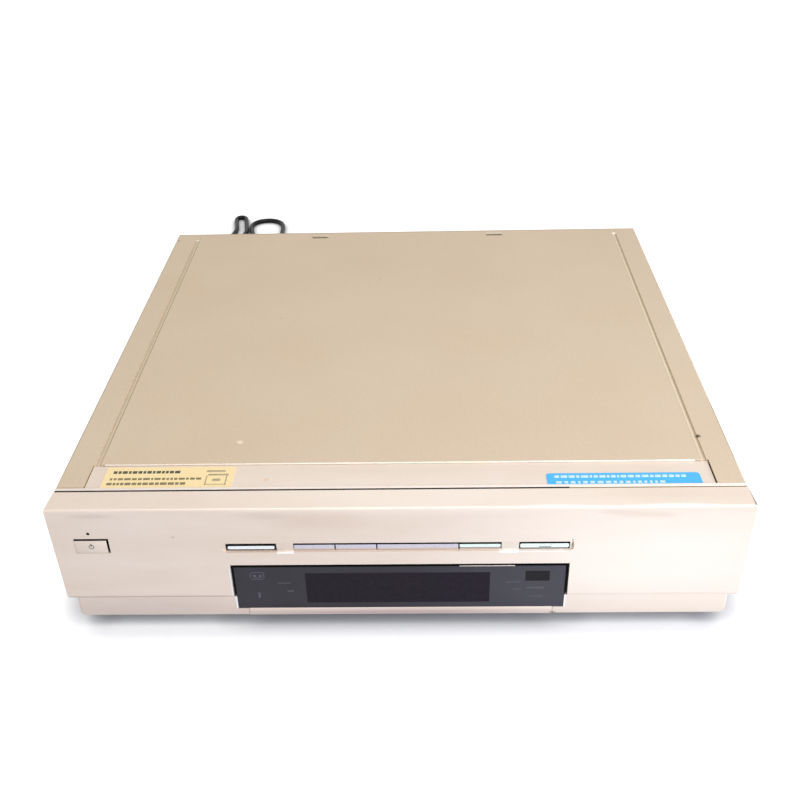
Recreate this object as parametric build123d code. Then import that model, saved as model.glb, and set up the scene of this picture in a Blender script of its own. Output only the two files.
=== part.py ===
from build123d import *
import math
import os

# A full-width video deck for two tape sizes, with a flip-down front door.
# X runs to the right seen from the front, Y to the back and Z up, in millimetres.
# The origin is under the middle of the deck, on the surface it stands on.
# Every y value below is counted back from the front face of the closed door.

# Overall sizes
width = 430.0
height = 99.0
cover_depth = 415.0
jack_reach = 6.0
foot_height = 10.0

# Material thicknesses and clearances
sheet = 1.0
wall = 2.5
board_thickness = 1.6
gap = 0.3
bore_gap = 0.06

# Steel cover
cover_skirt_z = 12.0
cover_front = 46.3
cover_bend = 1.2
side_strip = 17.4
groove_inset = 20.3
groove_width = 3.2
groove_depth = 0.7
groove_stop = 10.0
top_slot_x = 81.7
top_slot_length = 13.5
top_slot_width = 1.2
top_slot_inset = 9.0
vent_count = 12
vent_pitch = 9.0
vent_width = 3.0
vent_height = 26.0
vent_drop = 34.0
vent_inset = 165.0

# Chassis and feet
flange_height = 12.0
chassis_front = 21.0
foot_radius = 17.0
pad_radius = 13.0
pad_height = 2.0
foot_inset = 50.0
foot_front_y = 48.0
foot_rear_inset = 45.0
floor_slot_count = 9
floor_slot_length = 40.0
floor_slot_place = (56.0, 30.0)

# Door
door_depth = 17.5
door_bottom = 27.0
door_drop = 0.1
door_slope = 0.8
door_flare = 1.5
door_ridge = 1.6
door_heel = 1.0
door_cheek = 3.0
hinge_y = 4.0
hinge_z = 31.0
hinge_pin_radius = 1.2
ear_width = 4.5
ear_height = 3.0
notch_half_width = 107.0
notch_drop = 45.6
liner_front = 12.0
liner_thickness = 2.0
liner_lift = 8.0
door_board_y = 8.0
door_board_margin = 4.0
door_post_x = (-150.0, -70.5, 0.0, 69.5)

# Buttons in the door
button_drop = 28.1
button_height = 7.1
button_lip = 4.3
button_travel = 1.2
scoop_depth = 1.3
scoop_left = -110.0
scoop_right = 108.7
scoop_rise = 0.7
button_spans = {
    "dv_eject_button": (-107.8, -76.0),
    "rewind_button": (-65.5, -39.4),
    "forward_button": (-39.4, -13.4),
    "play_button": (-13.4, 37.6),
    "stop_button": (37.6, 64.0),
    "vhs_eject_button": (74.8, 106.2),
}
plunger_radius = 1.5
switch_half = 3.0
power_button_inset = 12.7
power_button_width = 22.0
power_button_drop = 23.3
power_button_height = 11.7
power_light_inset = 22.9
power_light_drop = 19.3
power_light_radius = 1.0

# Bezel behind the door, skirt below it and shelf above it
rim_rear = 22.0
rim_drop = 0.5
shelf_drop = 1.2
shelf_lip = 6.0
skirt_inset = 5.5
skirt_front = 1.0
skirt_fall = 0.7
skirt_seam = 0.6
skirt_corner = 4.0
window_side_gap = 2.0
window_top_gap = 0.8
window_bottom = 15.6
window_front = 4.0
window_thickness = 2.0
sill_inset = 6.8
sill_bottom = 10.0
screen_side_margins = (46.0, 48.0)
screen_edge_margins = (5.9, 6.2)
screen_thickness = 6.0
front_jack_count = 5
front_jack_inset = 85.0
front_jack_body = (12.0, 16.0)
chip_x = (-70.0, -20.0, 40.0)
chip_size = (18.0, 2.5, 12.0)
chip_lift = 12.4

# Labels on the shelf
label_thickness = 0.2
yellow_label_inset = 27.5
yellow_label_size = (83.1, 22.0)
blue_label_inset = 26.0
blue_label_size = (96.0, 12.0)

# Cassette ways
vhs_slot_inset = 18.0
vhs_slot_width = 192.0
vhs_slot_drop = 12.0
vhs_slot_height = 27.0
dv_slot_share = 5 / 11
dv_slot_width = 128.0
dv_slot_drop = 19.0
dv_slot_height = 18.0
flap_thickness = 2.0
flap_lap = 1.5
flap_rise = 2.5
flap_pin_radius = 1.0
flap_pin_length = 2.4
flap_lug = 2.2
holder_sheet = 1.2
holder_lip = 12.0
holder_gap = 0.2
holder_start = 2.0
vhs_holder_depth = 104.0
dv_holder_depth = 80.0
vhs_holder_travel = 50.0
dv_holder_travel = 30.0
holder_pin_radius = 1.5
holder_pin_inset = 20.0
frame_side = 3.0
frame_rise = 5.0
frame_tie = 12.0
vhs_frame_spare = 20.0
dv_frame_spare = 10.0

# Tape mechanisms
vhs_plate_z = 22.0
vhs_plate_front = 50.0
vhs_plate_inset = 135.0
dv_plate_z = 30.0
dv_plate_front = 52.0
dv_plate_inset = 225.0
plate_thickness = 1.5
frame_thickness = 1.2
vhs_drum_radius = 31.0
vhs_drum_from_rear = 40.0
vhs_drum_base_height = 15.5
vhs_drum_height = 16.5
vhs_reel_spacing = 92.0
vhs_reel_from_drum = 75.0
reel_radius = 24.0
reel_rim = 3.0
reel_hub_height = 14.0
reel_axle_height = 9.0
dv_drum_radius = 10.85
dv_drum_from_rear = 30.0
dv_drum_height = 9.0
dv_reel_spacing = 48.0
dv_reel_from_drum = 48.0
dv_reel_radius = 10.0
axle_radius = 2.0
capstan_radius = 1.5
capstan_from_middle = 60.0
capstan_from_drum = 18.0
capstan_height = 26.0
flywheel_radius = 19.0
flywheel_lift = 1.5
flywheel_thickness = 4.0
roller_radius = 6.0
roller_height = 17.0
pinch_reach = 26.0
pinch_arm_lift = 1.0
pinch_arm_thickness = 2.5
pinch_swing = 20.0
guide_travel = 40.0
guide_lean = 12.0
guide_from_drum = 35.0
guide_from_middle = 30.0
guide_height = 22.0
guide_base_height = 3.0
loading_motor_size = 22.0
loading_motor_length = 30.0
loading_shaft = 14.0
loading_motor_inset = 8.0

# Boards at the back
board_lift = 5.0
post_radius = 3.0
main_board_left = -18.0
main_board_inset = 7.0
main_board_depth = 116.0
power_board_right = -40.0
power_board_inset = 9.0
power_board_depth = 174.0
board_from_rear = 11.0

# Power supply parts, placed from the front left corner of their board
power_board_parts = ((14.0, 14.0, 26.0, 18.0, 14.0), (132.0, 10.0, 20.0, 8.0, 9.0))
transformer_place = (46.0, 88.0)
transformer_size = (46.0, 38.0, 34.0)
winding_inset = 6.0
winding_reach = 5.0
winding_height = 26.0
capacitor_place = (24.0, 60.0)
capacitor_radius = 10.0
capacitor_height = 36.0
capacitor_pitch = 26.0
heatsink_place = (132.0, 40.0)
heatsink_length = 90.0
heatsink_height = 42.0
heatsink_base = 4.0
fin_count = 9
fin_pitch = 11.0
fin_thickness = 2.0
fin_reach = 18.0

# Rear panel
rear_flange = 12.0
screw_radius = 1.9
screw_head = 3.6
screw_head_height = 1.6
screw_inset = 23.0
jack_radius = 4.15
jack_bore = 1.7
jack_pitch = 14.0
jack_columns = 3
jack_groups = (20.0, 72.0)
jack_row_drops = (53.0, 37.0, 21.0)
jack_barrel_back = 8.0
jack_block_depth = 6.0
socket_radius = 4.7
socket_bore = 1.2
socket_insets = (65.0, 35.0)
socket_drops = (47.0, 23.0)
tuner_margin = 14.0
tuner_depth = 59.0
tuner_rise = 10.0

# Mains cord
cord_radius = 2.5
cord_exit_x = -150.0
cord_exit_z = 35.0
relief_length = 30.0
relief_root = 6.0
relief_tip = 3.6
relief_flange = 3.0
cord_floor_z = 2.6
coil_x = -208.0
coil_from_rear = 57.0
coil_outer = 36.0
coil_pitch = 5.8
coil_layer = 5.6
coil_turns = 3
coil_tail = 24.0
plug_length = 27.0
plug_neck = 8.0
plug_width = 24.0
plug_height = 15.0
blade_length = 17.0
blade_width = 6.3
blade_thickness = 1.5
blade_spacing = 12.7

# The cord's free route: from the strain relief down to the floor, back and round a
# wide loop, round a hidden turn behind the deck, up a narrow fold and on to the coil.
# Here y is counted back from the cover's rear edge.
cord_route = [
    (cord_exit_x, relief_length - sheet - gap, cord_exit_z),
    (cord_exit_x, 48.0, cord_exit_z),
    (-150.6, 79.0, 19.5),
    (-151.6, 113.0, 3.8),
    (-150.8, 155.0, cord_floor_z),
    (-149.4, 195.0, cord_floor_z),
    (-150.4, 225.0, cord_floor_z),
    (-151.5, 252.1, cord_floor_z),
    (-162.9, 263.5, cord_floor_z),
    (-179.1, 263.5, cord_floor_z),
    (-190.5, 252.1, cord_floor_z),
    (-187.2, 229.0, cord_floor_z),
    (-176.4, 197.0, cord_floor_z),
    (-162.5, 164.4, cord_floor_z),
    (-170.6, 145.7, cord_floor_z),
    (-189.5, 138.0, cord_floor_z),
    (-208.4, 145.7, cord_floor_z),
    (-216.5, 164.4, cord_floor_z),
    (-202.4, 197.0, cord_floor_z),
    (-192.4, 227.0, cord_floor_z),
    (-195.6, 247.0, cord_floor_z),
    (-197.4, 259.0, cord_floor_z),
    (-199.9, 273.0, cord_floor_z),
    (-206.4, 275.3, cord_floor_z),
    (-211.7, 270.9, cord_floor_z),
    (-209.4, 257.0, cord_floor_z),
    (-204.9, 231.0, cord_floor_z),
    (-215.6, 197.0, cord_floor_z),
    (-231.0, 162.0, cord_floor_z),
    (-241.2, 125.0, cord_floor_z),
    (-244.0, 91.0, cord_floor_z),
    (-244.0, 62.0, cord_floor_z),
]

# Sizes that follow from the ones above
overall_depth = cover_depth + jack_reach
front_y = -overall_depth / 2
half_width = width / 2
cover_inner = half_width - sheet
cover_under = height - sheet
groove_x = half_width - groove_inset
groove_end = cover_depth - groove_stop
top_slot_y = cover_depth - top_slot_inset
vent_start = cover_depth - vent_inset
foot_x = half_width - foot_inset
foot_rear_y = cover_depth - foot_rear_inset
chassis_top = foot_height + sheet
panel_rear = cover_depth - sheet - gap
panel_front = panel_rear - sheet
screw_z = height - rear_flange / 2
door_top = height - door_drop
notch_top = height - notch_drop
button_top = height - button_drop
button_bottom = button_top - button_height
button_face_z = button_top - button_lip
scoop_top = button_top + scoop_rise
power_button_left = power_button_inset - half_width
power_button_top = height - power_button_drop
power_button_x = (power_button_left, power_button_left + power_button_width)
power_button_z = (power_button_top - power_button_height, power_button_top)
power_light_x = power_light_inset - half_width
power_light_z = height - power_light_drop
bezel_front = door_depth + sheet
rim_top = height - rim_drop
shelf_half_width = half_width - side_strip - gap
shelf_top = height - shelf_drop
skirt_half_width = half_width - skirt_inset
skirt_top = door_bottom - skirt_seam
skirt_bottom = foot_height - skirt_fall
window_half_width = notch_half_width - window_side_gap
window_top = notch_top - window_top_gap
sill_half_width = window_half_width - sill_inset
screen_x = (screen_side_margins[0] - window_half_width, window_half_width - screen_side_margins[1])
screen_z = (window_bottom + screen_edge_margins[0], window_top - screen_edge_margins[1])
heel_sweep = math.hypot(hinge_y, hinge_z - door_bottom) + gap
vhs_slot_x = (half_width - vhs_slot_inset - vhs_slot_width, half_width - vhs_slot_inset)
vhs_slot_z = (height - vhs_slot_drop - vhs_slot_height, height - vhs_slot_drop)
dv_slot_inset = (width - vhs_slot_width - dv_slot_width) * dv_slot_share
dv_slot_x = (dv_slot_inset - half_width, dv_slot_inset + dv_slot_width - half_width)
dv_slot_z = (height - dv_slot_drop - dv_slot_height, height - dv_slot_drop)
flap_front = bezel_front + wall + gap
flap_axis_y = flap_front + flap_thickness / 2
vhs_middle = sum(vhs_slot_x) / 2
dv_middle = sum(dv_slot_x) / 2
vhs_flap_axis_z = vhs_slot_z[1] + flap_rise
dv_flap_axis_z = dv_slot_z[1] + flap_rise
vhs_plate_y = (vhs_plate_front, cover_depth - vhs_plate_inset)
dv_plate_y = (dv_plate_front, cover_depth - dv_plate_inset)
vhs_plate_top = vhs_plate_z + plate_thickness
dv_plate_top = dv_plate_z + plate_thickness
vhs_drum_y = vhs_plate_y[1] - vhs_drum_from_rear
vhs_reel_y = vhs_drum_y - vhs_reel_from_drum
capstan_y = vhs_drum_y - capstan_from_drum
guide_y = vhs_drum_y - guide_from_drum
dv_drum_y = dv_plate_y[1] - dv_drum_from_rear
dv_reel_y = dv_drum_y - dv_reel_from_drum
board_z = chassis_top + board_lift
board_top = board_z + board_thickness
board_rear = cover_depth - board_from_rear
main_board_x = (main_board_left, half_width - main_board_inset)
main_board_y = (board_rear - main_board_depth, board_rear)
power_board_x = (power_board_inset - half_width, power_board_right)
power_board_y = (board_rear - power_board_depth, board_rear)
jack_rows_z = [height - drop for drop in jack_row_drops]
socket_x = [half_width - inset for inset in socket_insets]
socket_z = [height - drop for drop in socket_drops]
coil_y = cover_depth + coil_from_rear


def block(x, y, z):
    """A box between low and high values on each axis."""
    middle = Pos((x[0] + x[1]) / 2, front_y + (y[0] + y[1]) / 2, (z[0] + z[1]) / 2)
    return middle * Box(x[1] - x[0], y[1] - y[0], z[1] - z[0])


def rod(axis, at, span, radius):
    """A cylinder along an axis, placed by its other two coordinates in X, Y, Z order."""
    middle = (span[0] + span[1]) / 2
    length = span[1] - span[0]
    if axis == "X":
        return Pos(middle, front_y + at[0], at[1]) * Rot(0, 90, 0) * Cylinder(radius, length)
    if axis == "Y":
        return Pos(at[0], front_y + middle, at[1]) * Rot(90, 0, 0) * Cylinder(radius, length)
    return Pos(at[0], front_y + at[1], middle) * Cylinder(radius, length)


def edges_at(part, axis, **place):
    """The edges along an axis whose centre has the given x, y or z."""
    found = []
    for edge in part.edges().filter_by(axis):
        centre = edge.center()
        here = {"x": centre.X, "y": centre.Y - front_y, "z": centre.Z}
        if all(abs(here[key] - value) < 0.01 for key, value in place.items()):
            found.append(edge)
    return found


def profile_along_x(points, span):
    """A solid with a side outline of (y, z) points, between two x values."""
    outline = Plane.YZ * make_face(Polyline(*[(front_y + y, z) for y, z in points], close=True))
    return Pos(span[0], 0, 0) * extrude(outline, span[1] - span[0])


def together(parts):
    """One solid from parts that overlap or touch."""
    whole = parts[0]
    for part in parts[1:]:
        whole = whole + part
    return whole


def save(name, *solids):
    """Writes one node, as a group when it has several solids."""
    shape = solids[0] if len(solids) == 1 else Compound(children=list(solids))
    export_step(shape, f"parts/{name}.step")


def mirrored(pairs):
    """The same places on both sides of the deck."""
    return [(side * x, y) for side in (-1, 1) for x, y in pairs]


foot_places = mirrored([(foot_x, foot_front_y), (foot_x, foot_rear_y)])


def corners_inside(x, y, inset):
    """The four places that lie a given distance in from a rectangle's corners."""
    return [(cx, cy) for cx in (x[0] + inset, x[1] - inset) for cy in (y[0] + inset, y[1] - inset)]


# Chassis, feet and outer covers
def make_chassis_base():
    x = (-cover_inner + gap, cover_inner - gap)
    y = (chassis_front, panel_front)
    base = block(x, y, (foot_height, chassis_top))
    walls = [
        block((x[0], x[0] + sheet), y, (foot_height, foot_height + flange_height)),
        block((x[1] - sheet, x[1]), y, (foot_height, foot_height + flange_height)),
        block(x, (y[0], y[0] + sheet), (foot_height, foot_height + 2 * flange_height)),
        block(x, (y[1] - sheet, y[1]), (foot_height, foot_height + flange_height)),
    ]
    posts = []
    for board_x, board_y in ((main_board_x, main_board_y), (power_board_x, power_board_y)):
        for place in corners_inside(board_x, board_y, 2 * post_radius):
            posts.append(rod("Z", place, (chassis_top, board_z), post_radius))
    base = together([base, *walls, *posts])
    slots = []
    for i in range(floor_slot_count):
        slot_x = power_board_x[0] + floor_slot_place[0]
        slot_y = power_board_y[0] + floor_slot_place[1] + i * 2 * vent_width
        slot_y_span = (slot_y, slot_y + vent_width)
        slots.append(block((slot_x, slot_x + floor_slot_length), slot_y_span, (0, chassis_top)))
    return base - slots


def make_feet():
    return [
        rod("Z", place, (pad_height, foot_height), foot_radius)
        - rod("Z", place, (0, pad_height + 1), pad_radius)
        for place in foot_places
    ]


def make_foot_pads():
    return [rod("Z", place, (0, pad_height + 1), pad_radius) for place in foot_places]


def make_top_cover():
    outer = block((-half_width, half_width), (rim_rear + gap, cover_depth), (cover_skirt_z, height))
    outer = fillet(edges_at(outer, Axis.Y, z=height), cover_bend)
    inner = block((-cover_inner, cover_inner), (0, cover_depth + 1), (0, cover_under))
    ribs = []
    for side in (-1, 1):
        middle = side * groove_x
        ribs.append(
            block(
                (middle - groove_width / 2 - sheet / 2, middle + groove_width / 2 + sheet / 2),
                (cover_front, groove_end + sheet),
                (cover_under - groove_depth, cover_under),
            )
        )
    flange_z = (height - rear_flange, cover_under)
    flange = block((-cover_inner, cover_inner), (cover_depth - sheet, cover_depth), flange_z)
    cover = together([outer - inner, flange, *ribs]) - make_screw_holes()
    strip = half_width - side_strip
    cover -= block((-strip, strip), (0, cover_front), (cover_under - 5, height + 1))
    for side in (-1, 1):
        middle = side * groove_x
        cover -= block(
            (middle - groove_width / 2, middle + groove_width / 2),
            (cover_front, groove_end),
            (height - groove_depth, height + 1),
        )
        slot_middle = side * top_slot_x
        cover -= block(
            (slot_middle - top_slot_length / 2, slot_middle + top_slot_length / 2),
            (top_slot_y, top_slot_y + top_slot_width),
            (cover_under - 1, height + 1),
        )
    vents = []
    for i in range(vent_count):
        vent_y = vent_start + i * vent_pitch
        vent_z = (height - vent_drop - vent_height, height - vent_drop)
        vents.append(block((-half_width - 1, half_width + 1), (vent_y, vent_y + vent_width), vent_z))
    return cover - vents


def make_cover_screws():
    """Screws through the cover's rear flange into the rear panel."""
    return [
        rod("Y", (x, screw_z), (panel_front - 3 * sheet, cover_depth), screw_radius - gap / 3)
        + rod("Y", (x, screw_z), (cover_depth, cover_depth + screw_head_height), screw_head)
        for x in screw_places_x()
    ]


def screw_places_x():
    """Four screws, evenly spaced across the rear flange."""
    outer = half_width - screw_inset
    return (-outer, -outer / 3, outer / 3, outer)


def make_screw_holes():
    return [rod("Y", (x, screw_z), (panel_front - 1, cover_depth + 1), screw_radius) for x in screw_places_x()]


def make_rear_panel():
    x = (-cover_inner + gap, cover_inner - gap)
    panel = block(x, (panel_front, panel_rear), (foot_height, cover_under))
    holes = [rod("Y", place, (panel_front - 1, panel_rear + 1), jack_radius + gap) for place in jack_places()]
    for place in socket_places():
        holes.append(rod("Y", place, (panel_front - 1, panel_rear + 1), socket_radius + gap))
    exit_place = (cord_exit_x, cord_exit_z)
    holes.append(rod("Y", exit_place, (panel_front - 1, panel_rear + 1), relief_root))
    for i in range(vent_count):
        vent_x = power_board_x[0] + 2 * capacitor_radius + i * vent_pitch
        vent_z = (cover_under - vent_height - 10, cover_under - 10)
        holes.append(block((vent_x, vent_x + vent_width), (panel_front - 1, panel_rear + 1), vent_z))
    return panel - holes - make_screw_holes()


def jack_places():
    """Where the phono jacks sit on the rear panel, as (x, z)."""
    return [
        (group + column * jack_pitch, row)
        for group in jack_groups
        for column in range(jack_columns)
        for row in jack_rows_z
    ]


def socket_places():
    """Where the aerial sockets sit on the rear panel, as (x, z)."""
    return [(x, z) for x in socket_x for z in socket_z]


def make_rear_jacks():
    jack_rear = cover_depth + jack_reach
    jacks = []
    for place in jack_places():
        barrel = rod("Y", place, (panel_front - jack_barrel_back, jack_rear), jack_radius)
        barrel -= rod("Y", place, (panel_rear, jack_rear + 1), jack_bore)
        jacks.append(barrel)
    for group in jack_groups:
        block_x = (group - jack_pitch / 2, group + (jack_columns - 0.5) * jack_pitch)
        block_rear = panel_front - jack_barrel_back
        block_z = (board_top, jack_rows_z[-1] + jack_pitch / 2)
        jacks.append(block(block_x, (block_rear - jack_block_depth, block_rear), block_z))
    return jacks


# Front bezel with its skirt, shelf, hinge ears and flap lugs
def make_front_bezel():
    bezel_rear = bezel_front + wall
    plate = block((-half_width, half_width), (bezel_front, bezel_rear), (skirt_top - wall, rim_top))
    plate += block((-half_width, half_width), (bezel_front, rim_rear), (rim_top - wall, rim_top))
    plate = fillet(edges_at(plate, Axis.X, y=rim_rear, z=rim_top), 0.4)
    skirt = block(
        (-skirt_half_width, skirt_half_width), (skirt_front, bezel_rear), (skirt_bottom, skirt_top)
    )
    skirt = fillet(edges_at(skirt, Axis.Y, z=skirt_bottom), skirt_corner)
    skirt = fillet(edges_at(skirt, Axis.Z, y=skirt_front), wall / 2)
    skirt -= block(
        (-skirt_half_width + wall, skirt_half_width - wall),
        (skirt_front + wall, bezel_rear),
        (skirt_bottom - 1, skirt_top - wall),
    )
    shelf_x = (-shelf_half_width, shelf_half_width)
    shelf = block(shelf_x, (rim_rear - wall, cover_front - gap), (shelf_top - wall, shelf_top))
    lip = block(
        shelf_x,
        (cover_front - 2 * gap, cover_front + shelf_lip),
        (shelf_top - wall, cover_under - groove_depth),
    )
    bezel = together([plate, skirt, shelf, lip])
    for side in (-1, 1):
        bezel += make_hinge_ear(side)
    for slot_x, slot_z in ((vhs_slot_x, vhs_slot_z), (dv_slot_x, dv_slot_z)):
        bezel -= block(slot_x, (bezel_front - 1, bezel_rear + 1), slot_z)
        bezel += make_flap_lugs(slot_x, slot_z[1] + flap_rise)
    window_hole = window_half_width + gap
    bezel -= block((-window_hole, window_hole), (0, rim_rear), (window_bottom - gap, window_top + gap))
    sill_hole = sill_half_width + gap
    bezel -= block((-sill_hole, sill_hole), (0, skirt_front + wall), (0, window_bottom))
    bezel -= rod("X", (hinge_y, hinge_z), (-half_width, half_width), heel_sweep) & block(
        (-half_width, half_width), (0, bezel_front), (0, door_bottom)
    )
    for place in front_jack_places():
        bezel -= rod("Y", place, (bezel_front - 1, bezel_rear + 1), jack_radius + gap)
    return bezel


def make_hinge_ear(side):
    """An ear that stands forward from the bezel, with the door's hinge pin on its outer face."""
    cheek_inner = half_width - door_cheek
    outer = cheek_inner - gap
    span = sorted((side * (outer - ear_width), side * outer))
    ear = rod("X", (hinge_y, hinge_z), span, hinge_pin_radius)
    ear += block(span, (hinge_y, bezel_front), (hinge_z - hinge_pin_radius, hinge_z + ear_height))
    pin_span = sorted((side * (outer - ear_width), side * (half_width - gap)))
    ear -= block(span, (hinge_y - 1, hinge_y + 1), (hinge_z + hinge_pin_radius, hinge_z + ear_height + 1))
    return ear + rod("X", (hinge_y, hinge_z), pin_span, hinge_pin_radius)


def make_flap_lugs(slot_x, axis_z):
    """Two lugs behind the bezel that carry a flap's pins."""
    bore = flap_pin_radius + bore_gap
    lugs = []
    for side, end in ((-1, slot_x[0] - flap_lap), (1, slot_x[1] + flap_lap)):
        span = sorted((end + side * gap, end + side * (gap + flap_pin_length)))
        lug = block(span, (bezel_front + wall, flap_axis_y + flap_lug), (axis_z - flap_lug, axis_z + flap_lug))
        lugs.append(lug - rod("X", (flap_axis_y, axis_z), span, bore))
    return lugs


def make_flap(slot_x, slot_z):
    """A cassette flap that closes its slot from behind and swings in from its top edge."""
    axis_z = slot_z[1] + flap_rise
    span = (slot_x[0] - flap_lap, slot_x[1] + flap_lap)
    flap = block(span, (flap_front, flap_front + flap_thickness), (slot_z[0] - flap_lap, axis_z))
    flap += rod("X", (flap_axis_y, axis_z), span, flap_thickness / 2)
    pin_reach = gap + flap_pin_length
    return flap + rod("X", (flap_axis_y, axis_z), (span[0] - pin_reach, span[1] + pin_reach), flap_pin_radius)


# Display and front electronics
def make_display_window():
    return block(
        (-window_half_width, window_half_width),
        (window_front, window_front + window_thickness),
        (window_bottom, window_top),
    )


def make_display_holder():
    y = (window_front + window_thickness, bezel_front + wall)
    z = (window_bottom, window_top)
    holder = block((-window_half_width, window_half_width), y, z)
    inner_half = window_half_width - wall
    return holder - block((-inner_half, inner_half), (y[0] - 1, y[1] - wall), (z[0] + wall, z[1] - wall))


def make_display_tube():
    tube = block(screen_x, (bezel_front - screen_thickness, bezel_front), screen_z)
    return fillet(edges_at(tube, Axis.Y), screen_thickness / 4)


def make_display_sill():
    x = (-sill_half_width, sill_half_width)
    sill = block(x, (skirt_front, skirt_front + wall), (sill_bottom, window_bottom))
    return sill + block(x, (skirt_front + wall, chassis_front), (window_bottom - wall, window_bottom))


def make_front_board():
    """The board behind the bezel that carries the display and the receiver for the remote."""
    y = (chassis_front + sheet, chassis_front + sheet + board_thickness)
    board = block((-window_half_width, window_half_width), y, (window_bottom, window_top))
    bottom = window_bottom + chip_lift
    chip_y = (y[1], y[1] + chip_size[1])
    chips = [block((x, x + chip_size[0]), chip_y, (bottom, bottom + chip_size[2])) for x in chip_x]
    return together([board, *chips])


def front_jack_places():
    """Where the front jacks sit behind the door, as (x, z)."""
    first = half_width - front_jack_inset
    jack_z = foot_height + 2 * flange_height + front_jack_body[1] / 2
    return [(first + i * jack_pitch, jack_z) for i in range(front_jack_count)]


def make_front_jacks():
    places = front_jack_places()
    body_x = (places[0][0] - jack_pitch / 2, places[-1][0] + jack_pitch / 2)
    body_front = chassis_front + sheet
    body_z = (places[0][1] - front_jack_body[1] / 2, places[0][1] + front_jack_body[1] / 2)
    jacks = block(body_x, (body_front, body_front + front_jack_body[0]), body_z)
    for place in places:
        jacks += rod("Y", place, (liner_front + liner_thickness + 5 * gap, body_front), jack_radius)
        jacks -= rod("Y", place, (0, body_front), jack_bore)
    return jacks


# Front door and what rides in it
def make_front_door():
    shell = profile_along_x(
        [(0, door_bottom), (0, door_top - door_slope), (door_depth, door_top), (door_depth, door_bottom)],
        (-half_width - door_flare, half_width + door_flare),
    )
    shell = split(split(shell, flared_side(1), Keep.BOTTOM), flared_side(-1), Keep.BOTTOM)
    shell = fillet(edges_at(shell, Axis.X, y=0, z=door_top - door_slope), door_ridge)
    shell = fillet(edges_at(shell, Axis.X, y=0, z=door_bottom), door_heel)
    shell = fillet(edges_at(shell, Axis.X, y=door_depth, z=door_bottom), hinge_y)
    cheek_inner = half_width - door_cheek
    shell -= block(
        (-cheek_inner, cheek_inner), (wall, door_depth + 1), (door_bottom - 1, door_top - door_slope - wall)
    )
    shell += make_board_posts(wall, door_board_y)
    shell -= make_scoop()
    hole_z = (button_bottom + gap, button_top)
    for name, span in door_holes().items():
        shell -= block(span, (-1, wall + 1), hole_z)
    shell -= block(power_button_x, (-1, wall + 1), power_button_z)
    shell -= block((-notch_half_width, notch_half_width), (-1, wall + 1), (0, notch_top))
    shell -= rod("Y", (power_light_x, power_light_z), (-1, wall + 1), power_light_radius + gap / 2)
    bore = hinge_pin_radius + bore_gap
    shell -= rod("X", (hinge_y, hinge_z), (-half_width - 1, half_width + 1), bore)
    return shell


def flared_side(side):
    """The plane of a door end, which leans outwards to the front and to the top."""
    corner = Vector(side * half_width, front_y, door_bottom)
    to_top = Vector(side * door_flare, 0, door_top - door_bottom)
    to_rear = Vector(-side * door_flare, door_depth, 0)
    return Plane(corner, x_dir=to_top, z_dir=to_rear.cross(to_top) * side)


def door_holes():
    """The holes in the door: one for each eject button and one for the four buttons between."""
    spans = button_spans
    return {
        "left": spans["dv_eject_button"],
        "middle": (spans["rewind_button"][0], spans["stop_button"][1]),
        "right": spans["vhs_eject_button"],
    }


def make_scoop():
    """The shallow finger scoop around the button row, deepest at its bottom edge."""
    wedge = profile_along_x(
        [(-1, scoop_top), (0, scoop_top), (scoop_depth, button_bottom), (-1, button_bottom)],
        (scoop_left, scoop_right),
    )
    outline = block((scoop_left, scoop_right), (-1, wall), (button_bottom, scoop_top))
    radius = (scoop_top - button_bottom) * 0.4
    return wedge & fillet(outline.edges().filter_by(Axis.Y), radius)


def board_post_places():
    """Where posts hold the door's board, clear of the buttons, as (x, z)."""
    return [(x, button_top + 2 * post_radius) for x in door_post_x]


def make_board_posts(front, rear):
    return [rod("Y", place, (front, rear), post_radius) for place in board_post_places()]


def make_door_liner():
    inner = half_width - door_cheek - gap
    y = (liner_front, liner_front + liner_thickness)
    liner = block((-inner, inner), y, (hinge_z + liner_lift, door_top - door_slope - wall))
    liner -= block((-notch_half_width - wall, notch_half_width + wall), (0, 30), (0, notch_top + wall))
    return together([liner, *make_board_posts(door_board_y + board_thickness, liner_front)])


def switch_places():
    """The switch behind each button, as (x, z)."""
    middle_z = (button_top + button_bottom) / 2
    places = [((span[0] + span[1]) / 2, middle_z) for span in button_spans.values()]
    places.append((sum(power_button_x) / 2, sum(power_button_z) / 2))
    return places


def button_plunger_end():
    """How far back a button's plunger reaches at rest."""
    return wall + gap + 2 * button_travel


def make_door_board():
    y = (door_board_y, door_board_y + board_thickness)
    right = button_spans["vhs_eject_button"][1]
    z = (notch_top + door_board_margin, power_light_z + switch_half)
    board = block((power_button_x[0] - door_board_margin, right), y, z)
    switch_front = button_plunger_end() + button_travel + 0.1
    for x, z in switch_places():
        switch_z = (z - switch_half, z + switch_half)
        board += block((x - switch_half, x + switch_half), (switch_front, door_board_y), switch_z)
    return board


def make_power_light():
    return rod("Y", (power_light_x, power_light_z), (0.2, door_board_y), power_light_radius)


def make_button(span, z, side_gap):
    """A button cap with a retaining flange behind the door and a plunger for its switch."""
    x = (span[0] + side_gap, span[1] - side_gap)
    flange = (wall + gap, wall + gap + button_travel)
    cap = block(x, (0.3, flange[1]), (z[0] + gap, z[1] - gap))
    cap += block(x, flange, (z[0] - 1, z[1] + 1))
    centre = (sum(span) / 2, sum(z) / 2)
    return cap + rod("Y", centre, (flange[0], button_plunger_end()), plunger_radius)


def make_strip_button(span):
    """A bar button of the row: its face leans back below a ridge, down to the scoop's floor."""
    z = (button_bottom + gap, button_top)
    button = make_button(span, z, gap)
    chin = profile_along_x(
        [(-1, button_face_z), (0.3, button_face_z), (scoop_depth + 0.3, z[0]), (-1, z[0])],
        span,
    )
    return button - chin


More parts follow.
